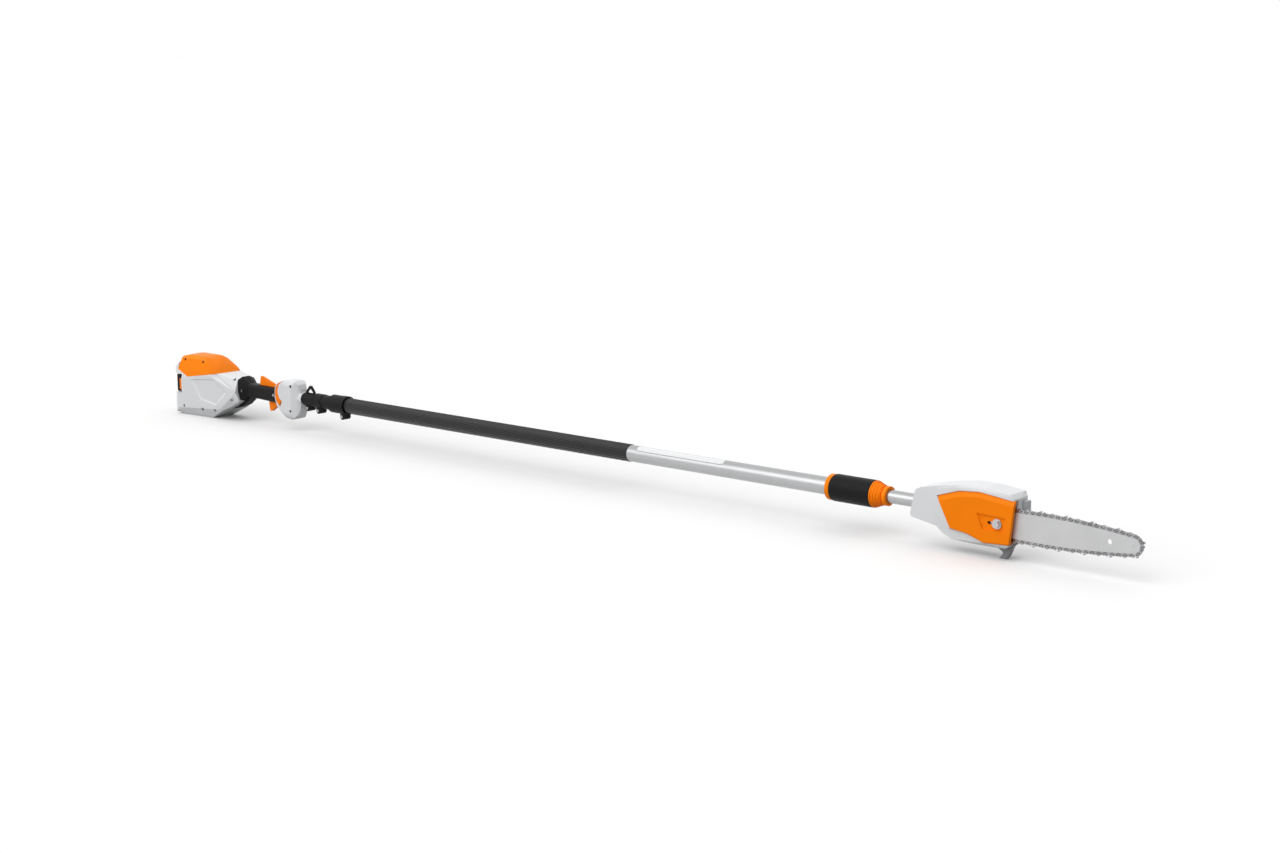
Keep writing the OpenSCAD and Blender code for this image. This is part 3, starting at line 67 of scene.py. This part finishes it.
studio = {
    "cameraPlace": (4.25458, -3.30298, 0.94014),
    "cameraTurn": (79.556, 0, 40.719),  # degrees
    "lens": 60.469,
    "sensorWidth": 36,
    "viewDepth": 200,
    # name, strength, spread in degrees (wide for a soft shadow), turn in degrees, shows in gloss
    "suns": [
        ("topSun", 1.32, 90, (-24, 0, 34), False),
        ("frontSun", 0.90, 70, (50, 0, -16), False),
        ("glintSun", 1.05, 60, (50, 0, -16), True),
    ],
    "sunPlace": (1, 0, 3),
    "skyLevel": 0.42,
    # height above the horizon from 0 to 1, and brightness there
    "skyStops": [(0.0, 0.50), (0.10, 0.72), (0.30, 1.0), (1.0, 1.0)],
    "floorHalf": 60,
    "floorGap": 0.0005,  # under the lowest point of the saw
    "floorColor": (0.38, 0.38, 0.38, 1),  # what it throws back on the saw
    "floorSeen": (0.835, 0.835, 0.835, 1),  # what shows as background
    "floorLift": 0.01,
}

scene = bpy.context.scene
scene.view_settings.view_transform = "Standard"


def linkObject(thing):
    scene.collection.objects.link(thing)
    return thing


def degrees(*angles):
    return tuple(math.radians(a) for a in angles)


def seenRays(tree):
    # 1 for the rays that show the background: straight, mirrored or through glass
    rays = tree.nodes.new("ShaderNodeLightPath")
    seen = rays.outputs["Is Camera Ray"]
    for ray in ("Is Glossy Ray", "Is Transmission Ray"):
        more = tree.nodes.new("ShaderNodeMath")
        more.operation = "MAXIMUM"
        tree.links.new(seen, more.inputs[0])
        tree.links.new(rays.outputs[ray], more.inputs[1])
        seen = more.outputs[0]
    return seen


def makeStudio(s):
    camera = linkObject(bpy.data.objects.new("mainCamera", bpy.data.cameras.new("mainCamera")))
    camera.location = s["cameraPlace"]
    camera.rotation_euler = degrees(*s["cameraTurn"])
    camera.data.lens = s["lens"]
    camera.data.sensor_width = s["sensorWidth"]
    camera.data.clip_end = s["viewDepth"]
    scene.camera = camera
    for name, strength, spread, turn, inGloss in s["suns"]:
        sun = bpy.data.lights.new(name, "SUN")
        sun.energy = strength
        sun.angle = math.radians(spread)
        lamp = linkObject(bpy.data.objects.new(name, sun))
        lamp.rotation_euler = degrees(*turn)
        lamp.visible_glossy = inGloss
        lamp.location = s["sunPlace"]


def makeSky(s):
    world = bpy.data.worlds.new("studioSky")
    scene.world = world
    world.use_nodes = True
    tree = world.node_tree
    tree.nodes.clear()
    place = tree.nodes.new("ShaderNodeTexCoord")
    split = tree.nodes.new("ShaderNodeSeparateXYZ")
    ramp = tree.nodes.new("ShaderNodeValToRGB")
    while len(ramp.color_ramp.elements) < len(s["skyStops"]):
        ramp.color_ramp.elements.new(0.5)
    for element, (at, tone) in zip(ramp.color_ramp.elements, s["skyStops"]):
        element.position = at
        element.color = (tone, tone, tone, 1)
    sky = tree.nodes.new("ShaderNodeBackground")
    sky.inputs["Strength"].default_value = s["skyLevel"]
    white = tree.nodes.new("ShaderNodeBackground")
    white.inputs["Color"].default_value = (1, 1, 1, 1)
    mix = tree.nodes.new("ShaderNodeMixShader")
    out = tree.nodes.new("ShaderNodeOutputWorld")
    tree.links.new(place.outputs["Generated"], split.inputs[0])
    tree.links.new(split.outputs["Z"], ramp.inputs[0])
    tree.links.new(ramp.outputs["Color"], sky.inputs["Color"])
    tree.links.new(seenRays(tree), mix.inputs[0])
    tree.links.new(sky.outputs[0], mix.inputs[1])
    tree.links.new(white.outputs[0], mix.inputs[2])
    tree.links.new(mix.outputs[0], out.inputs[0])


def makeFloor(s):
    bm = bmesh.new()
    bmesh.ops.create_grid(bm, x_segments=2, y_segments=2, size=s["floorHalf"])
    mesh = bpy.data.meshes.new("studioFloor")
    bm.to_mesh(mesh)
    bm.free()
    floor = linkObject(bpy.data.objects.new("studioFloor", mesh))
    floor.location = (0, 0, cadBox[0][2] - s["floorGap"])
    material = bpy.data.materials.new("paleFloor")
    material.use_nodes = True
    tree = material.node_tree
    tree.nodes.clear()
    matt = tree.nodes.new("ShaderNodeBsdfDiffuse")
    tone = tree.nodes.new("ShaderNodeMix")
    tone.data_type = "RGBA"
    tone.inputs["A"].default_value = s["floorColor"]
    tone.inputs["B"].default_value = s["floorSeen"]
    glow = tree.nodes.new("ShaderNodeEmission")
    lift = tree.nodes.new("ShaderNodeMath")
    lift.operation = "MULTIPLY"
    lift.inputs[1].default_value = s["floorLift"]
    both = tree.nodes.new("ShaderNodeAddShader")
    out = tree.nodes.new("ShaderNodeOutputMaterial")
    seen = seenRays(tree)
    tree.links.new(seen, tone.inputs["Factor"])
    tree.links.new(tone.outputs["Result"], matt.inputs["Color"])
    tree.links.new(seen, lift.inputs[0])
    tree.links.new(lift.outputs[0], glow.inputs["Strength"])
    tree.links.new(matt.outputs[0], both.inputs[0])
    tree.links.new(glow.outputs[0], both.inputs[1])
    tree.links.new(both.outputs[0], out.inputs[0])
    mesh.materials.append(material)


makeStudio(studio)
makeSky(studio)
makeFloor(studio)
print("studio ready")

# Finishes. Every colour is linear, and a grain is a number of grains in a metre.

clouds = {"plastic": 14, "metal": 22}  # slow changes of tone, in a metre
bumpDepth = {"plastic": 0.00012, "metal": 0.00006}
smear = {"scale": 0.11, "less": 0.05, "more": 0.06}  # uneven gloss of the plastics
coatRoughness = 0.14


def newFinish(name, color, roughness, metallic=0.0):
    material = bpy.data.materials.new(name)
    material.use_nodes = True
    surface = material.node_tree.nodes["Principled BSDF"]
    surface.inputs["Base Color"].default_value = (*color, 1)
    surface.inputs["Roughness"].default_value = roughness
    surface.inputs["Metallic"].default_value = metallic
    return material, material.node_tree, surface


def stretched(tree, scale):
    place = tree.nodes.new("ShaderNodeTexCoord")
    mapping = tree.nodes.new("ShaderNodeMapping")
    mapping.inputs["Scale"].default_value = scale
    tree.links.new(place.outputs["Object"], mapping.inputs["Vector"])
    return mapping.outputs["Vector"]


def noise(tree, vector, scale, detail=2.0):
    texture = tree.nodes.new("ShaderNodeTexNoise")
    texture.inputs["Scale"].default_value = scale
    texture.inputs["Detail"].default_value = detail
    tree.links.new(vector, texture.inputs["Vector"])
    return texture.outputs["Fac"]


def ranged(tree, value, low, high, fromLow=0.3, fromHigh=0.7):
    node = tree.nodes.new("ShaderNodeMapRange")
    node.inputs["From Min"].default_value = fromLow
    node.inputs["From Max"].default_value = fromHigh
    node.inputs["To Min"].default_value = low
    node.inputs["To Max"].default_value = high
    tree.links.new(value, node.inputs["Value"])
    return node.outputs["Result"]


def tinted(tree, surface, factor, first, second):
    mix = tree.nodes.new("ShaderNodeMix")
    mix.data_type = "RGBA"
    mix.inputs["A"].default_value = (*first, 1)
    mix.inputs["B"].default_value = (*second, 1)
    tree.links.new(factor, mix.inputs["Factor"])
    tree.links.new(mix.outputs["Result"], surface.inputs["Base Color"])


def bumped(tree, surface, height, strength, distance):
    bump = tree.nodes.new("ShaderNodeBump")
    bump.inputs["Strength"].default_value = strength
    bump.inputs["Distance"].default_value = distance
    tree.links.new(height, bump.inputs["Height"])
    tree.links.new(bump.outputs["Normal"], surface.inputs["Normal"])


def mouldedPlastic(name, f):
    material, tree, surface = newFinish(name, f["color"], f["roughness"])
    even = stretched(tree, (1, 1, 1))
    tones = noise(tree, even, clouds["plastic"], 3)
    grain = noise(tree, even, f["grain"], 2)
    shade = [c * (1 - f.get("cloud", 0.06)) for c in f["color"]]
    tinted(tree, surface, ranged(tree, tones, 0, 1), shade, f["color"])
    tree.links.new(ranged(tree, noise(tree, even, f["grain"] * smear["scale"], 2),
                          f["roughness"] - smear["less"], f["roughness"] + smear["more"]),
                   surface.inputs["Roughness"])
    bumped(tree, surface, grain, f["bump"], bumpDepth["plastic"])
    surface.inputs["Specular IOR Level"].default_value = f.get("shine", 0.5)
    if f.get("coat"):
        surface.inputs["Coat Weight"].default_value = f["coat"]
        surface.inputs["Coat Roughness"].default_value = coatRoughness
    return material


def drawnMetal(name, f):
    material, tree, surface = newFinish(name, f["color"], f["roughness"], 1.0)
    lines = noise(tree, stretched(tree, f["stretch"]), f["grain"], 3)
    blotches = noise(tree, stretched(tree, (1, 1, 1)), clouds["metal"], 3)
    tree.links.new(ranged(tree, lines, f["roughness"] - f["spread"], f["roughness"] + f["spread"]),
                   surface.inputs["Roughness"])
    dull = [c * (1 - f["dull"]) for c in f["color"]]
    tinted(tree, surface, ranged(tree, blotches, 0, 1), dull, f["color"])
    bumped(tree, surface, lines, f["bump"], bumpDepth["metal"])
    return material


plastics = {
    "shellGrey": dict(color=(0.70, 0.71, 0.725), roughness=0.40, grain=1500, bump=0.10, cloud=0.02,
                      shine=0.4),
    "orangeGloss": dict(color=(1.0, 0.235, 0.002), roughness=0.38, grain=1400, bump=0.06, shine=0.08),
    "orangeMatt": dict(color=(1.0, 0.220, 0.002), roughness=0.42, grain=1500, bump=0.12, shine=0.12),
    "blackNylon": dict(color=(0.005, 0.005, 0.0055), roughness=0.46, grain=1300, bump=0.25, cloud=0.20,
                       shine=0.15),
    "hoseRubber": dict(color=(0.007, 0.007, 0.0075), roughness=0.24, grain=1700, bump=0.15, cloud=0.25,
                       shine=0.36),
    "darkGreyPlastic": dict(color=(0.05, 0.05, 0.054), roughness=0.5, grain=1400, bump=0.2),
    "hookGrey": dict(color=(0.22, 0.225, 0.235), roughness=0.38, grain=1400, bump=0.15),
    "boardGreen": dict(color=(0.01, 0.10, 0.03), roughness=0.35, grain=900, bump=0.2, coat=0.3),
    "tankWhite": dict(color=(0.42, 0.43, 0.44), roughness=0.38, grain=1200, bump=0.1),
    "blankLabel": dict(color=(0.72, 0.73, 0.74), roughness=0.30, grain=900, bump=0.03, cloud=0.02,
                       coat=0.3),
    "markOrange": dict(color=(1.0, 0.20, 0.003), roughness=0.4, grain=1500, bump=0.1),
}
metals = {
    "tubeAluminium": dict(color=(0.48, 0.485, 0.49), roughness=0.28, spread=0.05, dull=0.04,
                          stretch=(1, 60, 60), grain=24, bump=0.10),
    "groundSteel": dict(color=(0.56, 0.565, 0.57), roughness=0.48, spread=0.05, dull=0.06,
                        stretch=(1, 30, 30), grain=40, bump=0.16),
    "brightSteel": dict(color=(0.55, 0.55, 0.56), roughness=0.22, spread=0.05, dull=0.05,
                        stretch=(1, 1, 1), grain=700, bump=0.08),
    "chainSteel": dict(color=(0.45, 0.45, 0.46), roughness=0.24, spread=0.08, dull=0.25,
                       stretch=(1, 1, 1), grain=900, bump=0.15),
    # near-black steel for the drive links and chain rivets, much darker than the other chain parts, so
    # the chain shows a dark and light pattern
    "nearBlackChainSteel": dict(color=(0.022, 0.021, 0.020), roughness=0.38, spread=0.08, dull=0.25,
                       stretch=(1, 1, 1), grain=900, bump=0.15),
    "cutterChrome": dict(color=(0.50, 0.50, 0.52), roughness=0.24, spread=0.06, dull=0.18,
                         stretch=(1, 1, 1), grain=900, bump=0.08),
    "blackSteel": dict(color=(0.05, 0.05, 0.055), roughness=0.36, spread=0.05, dull=0.1,
                       stretch=(1, 1, 1), grain=900, bump=0.1),
    "motorIron": dict(color=(0.32, 0.32, 0.34), roughness=0.4, spread=0.06, dull=0.1,
                      stretch=(1, 900, 1), grain=2, bump=0.2),
    "copperWire": dict(color=(0.75, 0.33, 0.16), roughness=0.3, spread=0.05, dull=0.15,
                       stretch=(1, 1, 1), grain=800, bump=0.2),
}
finishes = {name: mouldedPlastic(name, f) for name, f in plastics.items()}
finishes.update({name: drawnMetal(name, f) for name, f in metals.items()})
print("finishes ready:", len(finishes))

# Edge radius in metres and finish for every visible CAD node. The dressed copy has its
# corners rounded and its round faces smooth; without a radius only the shading changes.

dressing = {
    "shellGrey": dict(housing_left=0.0007, housing_right=0.0007, hood_left=0.0007, hood_right=0.0007,
                      head_near=0.0007, head_far_shell=0.0007),
    "orangeGloss": dict(top_cover=0.0006, sprocket_cover=0.0025, lock_base=0.0004, lock_cone=0.0004),
    "orangeMatt": dict(trigger=0.0006, lockout_lever=0.0006, retaining_latch=0.0004,
                       battery_lever_left=0.0004, battery_lever_right=0.0004),
    "blackNylon": dict(battery=0.0006, battery_cap=0.0010, handle_left=0.0006, handle_right=0.0006,
                       eye_clamp=0.0005, middle_clamp=0.0005, pole_collar=0.0005, lock_grip=0.0008,
                       oil_cap=0.0004, trigger_switch=0),
    "darkGreyPlastic": dict(adapter_bush=0, lock_collet=0, guide_bush=0, oil_pump=0, battery_contacts=0),
    "boardGreen": dict(control_board=0),
    "tubeAluminium": dict(rear_tube=0, outer_tube=0, inner_tube=0),
    "hookGrey": dict(branch_hook=0.0006),
    "tankWhite": dict(oil_tank=0.0006),
    "brightSteel": dict(lever_pins=0, control_pins=0, handle_screws=0, pinch_screws=0, bar_stud=0,
                        bar_nut=0.0002, nose_bearing=0, motor_bearings=0),
    "groundSteel": dict(guide_bar=0),
    "blackSteel": dict(housing_screws=0, hood_screws=0, head_screws=0, tensioner=0, sprocket_clip=0),
    # drive links and rivets take the near-black chain steel
    "nearBlackChainSteel": dict(drive_links=0, chain_rivets=0),
    "chainSteel": dict(tie_straps=0, nose_sprocket=0, rim_sprocket=0),
    "cutterChrome": dict(cutters=0),
    "motorIron": dict(motor_rotor=0),
    "copperWire": dict(motor_stator=0),
}
bodyOfNode = {n: b for b, nodes in frame["record"]["behaviour"]["bodies"].items() for n in nodes}


def finishPiece(bm, name, finish, body, smoothAngle=35):
    mesh = bpy.data.meshes.new(name)
    bm.to_mesh(mesh)
    bm.free()
    mesh.materials.append(finishes[finish])
    for face in mesh.polygons:
        face.use_smooth = True
    mesh.set_sharp_from_angle(angle=math.radians(smoothAngle))
    piece = linkObject(bpy.data.objects.new(name, mesh))
    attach(piece, body)
    return piece


rounding = {
    "mergeGap": 0.000004,
    "flatAngle": 0.6,  # degrees, below which two faces become one
    "minAngle": 24,  # degrees, below which an edge isn't rounded
    "segments": 2,
    "smallFace": 4e-9,  # square metres, too small to judge
    # times the radius: the shortest edge, how far off a face may lie, what a fold spoils
    "shortest": 2.2,
    "offSurface": 0.75,
    "spoils": 1.6,
}


def cleanCopy(mesh):
    bm = bmesh.new()
    bm.from_mesh(mesh)
    bmesh.ops.remove_doubles(bm, verts=bm.verts, dist=rounding["mergeGap"])
    bmesh.ops.dissolve_degenerate(bm, edges=bm.edges, dist=rounding["mergeGap"])
    bmesh.ops.dissolve_limit(bm, angle_limit=math.radians(rounding["flatAngle"]),
                             verts=bm.verts, edges=bm.edges)
    return bm


def spanDistance(point, a, b):
    along = b - a
    t = max(0, min(1, (point - a).dot(along) / along.length_squared))
    return (a + along * t - point).length


def foldedPlaces(bm, surface, radius):
    # Middles of the triangles that lie off the plain surface or face the wrong way
    test = bm.copy()
    bmesh.ops.triangulate(test, faces=test.faces)
    folds = []
    for f in test.faces:
        if f.calc_area() < rounding["smallFace"]:
            continue
        middle = f.calc_center_median()
        _, normal, _, distance = surface.find_nearest(middle)
        if distance > rounding["offSurface"] * radius or f.normal.dot(normal) < 0.1:
            folds.append(middle)
    test.free()
    return folds


def roundedCopy(mesh, radius):
    # Rounds the sharp edges. Where that folds the surface, the edges nearby stay sharp.
    plain = cleanCopy(mesh)
    if not radius:
        return plain
    surface = BVHTree.FromBMesh(plain)
    plain.edges.index_update()
    chosen = {e.index: (e.verts[0].co.copy(), e.verts[1].co.copy()) for e in plain.edges
              if len(e.link_faces) == 2 and e.calc_length() > rounding["shortest"] * radius
              and e.calc_face_angle(0) > math.radians(rounding["minAngle"])}
    while True:
        bm = plain.copy()
        bm.edges.ensure_lookup_table()
        bmesh.ops.bevel(bm, geom=[bm.edges[i] for i in chosen], offset=radius,
                        segments=rounding["segments"], profile=0.5, affect="EDGES", material=-1,
                        clamp_overlap=False, loop_slide=True)
        folds = foldedPlaces(bm, surface, radius)
        spoilt = [i for i, (a, b) in chosen.items()
                  if any(spanDistance(f, a, b) < rounding["spoils"] * radius for f in folds)]
        if not spoilt:
            plain.free()
            return bm
        bm.free()
        for i in spoilt:
            del chosen[i]


def dressNode(node, finish, radius):
    bm = roundedCopy(frame["nodes"][node].data, radius)
    piece = finishPiece(bm, "dressed_" + node, finish, bodyOfNode[node])
    weighted = piece.modifiers.new("evenShade", "WEIGHTED_NORMAL")
    weighted.keep_sharp = True
    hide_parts(node)


for finish, members in dressing.items():
    for node, radius in members.items():
        dressNode(node, finish, radius)
print("dressed:", sum(len(m) for m in dressing.values()))

# Ribbed hose over the outer tube

hose = {
    "ribs": 22,
    "ribDepth": 0.00095,
    "twistLength": 0.380,  # one full turn of a rib
    "pointsPerRib": 8,
    "steps": 240,
    "wall": 0.00105,
}


def makeHose(h):
    low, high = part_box("grip_hose")
    radius = (high.z - low.z) / 2
    bm = bmesh.new()
    count = h["ribs"] * h["pointsPerRib"]
    bmesh.ops.create_circle(bm, segments=count, radius=radius)
    bmesh.ops.rotate(bm, verts=bm.verts, matrix=Matrix.Rotation(math.pi / 2, 3, "Y"))
    for v in bm.verts:
        wave = 0.5 - 0.5 * math.cos(h["ribs"] * math.atan2(v.co.z, v.co.y))
        v.co *= 1 - h["ribDepth"] / radius * wave
    bmesh.ops.translate(bm, verts=bm.verts, vec=(low.x, 0, axisHeight))
    length = high.x - low.x
    bmesh.ops.spin(bm, geom=list(bm.verts) + list(bm.edges), cent=(0, 0, axisHeight), axis=(1, 0, 0),
                   dvec=(length / h["steps"], 0, 0), angle=-2 * math.pi * length / h["twistLength"],
                   steps=h["steps"], use_merge=False, use_duplicate=False)
    for x in (low.x, high.x):  # closes both ends down to the tube
        rim = [e for e in bm.edges if e.is_boundary and abs(e.verts[0].co.x - x) < 1e-5
               and abs(e.verts[1].co.x - x) < 1e-5]
        made = bmesh.ops.extrude_edge_only(bm, edges=rim)["geom"]
        lip = [g for g in made if isinstance(g, bmesh.types.BMVert)]
        for v in lip:
            flat = Vector((0, v.co.y, v.co.z - axisHeight))
            v.co = Vector((x, 0, axisHeight)) + flat.normalized() * (radius - h["wall"])
    bmesh.ops.recalc_face_normals(bm, faces=bm.faces)
    piece = finishPiece(bm, "ribbed_hose", "hoseRubber", "handle_unit", 60)
    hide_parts("grip_hose")


makeHose(hose)

# Blank label on top of the outer tube, with a thin grey border under it

# from and to along the pole, around and turn in degrees, lift off the tube's surface
label = {"from": 1.412, "to": 1.640, "around": 52, "turn": 64, "corner": 0.006, "lift": 0.00012,
         "thick": 0.0001}
labelBorder = {"from": 1.4108, "to": 1.6412, "around": 60, "turn": 64, "corner": 0.0072,
               "lift": 0.00006, "thick": 0.0001}


def makeLabel(name, finish, p):
    low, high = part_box("outer_tube")
    radius = (high.z - low.z) / 2 + p["lift"]
    half = radius * math.radians(p["around"]) / 2
    length = p["to"] - p["from"]
    bm = bmesh.new()
    bmesh.ops.create_grid(bm, x_segments=40, y_segments=16, size=0.5)
    bmesh.ops.scale(bm, verts=bm.verts, vec=(length, 2 * half, 1))
    for v in bm.verts:  # rounds the four corners
        dx = abs(v.co.x) - (length / 2 - p["corner"])
        dy = abs(v.co.y) - (half - p["corner"])
        if dx > 0 and dy > 0 and math.hypot(dx, dy) > p["corner"]:
            k = p["corner"] / math.hypot(dx, dy)
            v.co.x = math.copysign(abs(v.co.x) - dx * (1 - k), v.co.x)
            v.co.y = math.copysign(abs(v.co.y) - dy * (1 - k), v.co.y)
    middle = (p["from"] + p["to"]) / 2
    for v in bm.verts:  # wraps it round the tube
        a = math.radians(p["turn"]) + v.co.y / radius
        v.co = Vector((v.co.x + middle, -radius * math.cos(a), axisHeight + radius * math.sin(a)))
    bmesh.ops.recalc_face_normals(bm, faces=bm.faces)
    core = Vector((middle, 0, axisHeight))
    if sum((f.calc_center_median() - core).dot(f.normal) for f in bm.faces) < 0:
        bmesh.ops.reverse_faces(bm, faces=bm.faces)
    bmesh.ops.solidify(bm, geom=bm.faces, thickness=p["thick"])
    finishPiece(bm, name, finish, "handle_unit", 50)


makeLabel("label_border", "hookGrey", labelBorder)
makeLabel("blank_label", "blankLabel", label)

# Small arrow mark on the twist grip

arrowMark = {"x": 1.9905, "turn": -38, "long": 0.0060, "wide": 0.0045, "thick": 0.0004}


def makeArrow(m):
    low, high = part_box("lock_grip")
    depth = (high.z - low.z) / 2 - m["thick"]
    a = math.radians(m["turn"])
    bm = bmesh.new()
    bmesh.ops.create_circle(bm, cap_ends=True, segments=3, radius=1)
    # a triangle in a circle of radius 1 is 1.73 wide and 1.5 long
    bmesh.ops.scale(bm, verts=bm.verts, vec=(m["wide"] / 1.73, m["long"] / 1.5, 1))
    bmesh.ops.rotate(bm, verts=bm.verts, matrix=Matrix.Rotation(-math.pi / 2, 3, "Z"))
    bmesh.ops.solidify(bm, geom=bm.faces, thickness=m["thick"])
    bmesh.ops.rotate(bm, verts=bm.verts, matrix=Matrix.Rotation(math.pi / 2 - a, 3, "X"))
    bmesh.ops.translate(bm, verts=bm.verts, vec=(m["x"], -depth * math.cos(a),
                                                 axisHeight + depth * math.sin(a)))
    bmesh.ops.recalc_face_normals(bm, faces=bm.faces)
    finishPiece(bm, "grip_arrow", "markOrange", "lock_grip")


makeArrow(arrowMark)

# Flush rivets through the bar, round its nose

noseRivets = {
    "spots": [(-0.0235, 0.009), (-0.0235, -0.009), (-0.033, 0)],  # from the nose's centre
    "radius": 0.0017,
    "proud": 0.00006,
    "rim": 0.3,  # of the radius
}


def makeRivets(r):
    low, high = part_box("guide_bar")
    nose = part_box("nose_bearing")
    centre = (nose[0] + nose[1]) / 2
    bm = bmesh.new()
    for dx, dz in r["spots"]:
        turned = Matrix.Translation((centre.x + dx, (low.y + high.y) / 2, centre.z + dz)) \
            @ Matrix.Rotation(math.pi / 2, 4, "X")
        bmesh.ops.create_cone(bm, cap_ends=True, segments=28, radius1=r["radius"], radius2=r["radius"],
                              depth=high.y - low.y + 2 * r["proud"], matrix=turned)
    caps = [f for f in bm.faces if len(f.verts) > 4]
    bmesh.ops.inset_individual(bm, faces=caps, thickness=r["rim"] * r["radius"], depth=r["proud"] / 2)
    finishPiece(bm, "nose_rivets", "groundSteel", "boom")


makeRivets(noseRivets)

# Charge lights on the rear of the battery's cap

chargeLights = {"z": 0.060, "gap": 0.008, "count": 4, "radius": 0.0016, "flatness": 0.35,
                "sunk": 0.0004}


def makeChargeLights(c):
    low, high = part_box("battery_cap")
    bm = bmesh.new()
    for i in range(c["count"]):
        y = (i - (c["count"] - 1) / 2) * c["gap"]
        made = bmesh.ops.create_uvsphere(bm, u_segments=20, v_segments=10, radius=c["radius"])["verts"]
        bmesh.ops.scale(bm, verts=made, vec=(c["flatness"], 1, 1))
        bmesh.ops.translate(bm, verts=made, vec=(low.x + c["sunk"], y, c["z"]))
    finishPiece(bm, "charge_lights", "tankWhite", "battery", 60)


makeChargeLights(chargeLights)
print("small pieces ready")
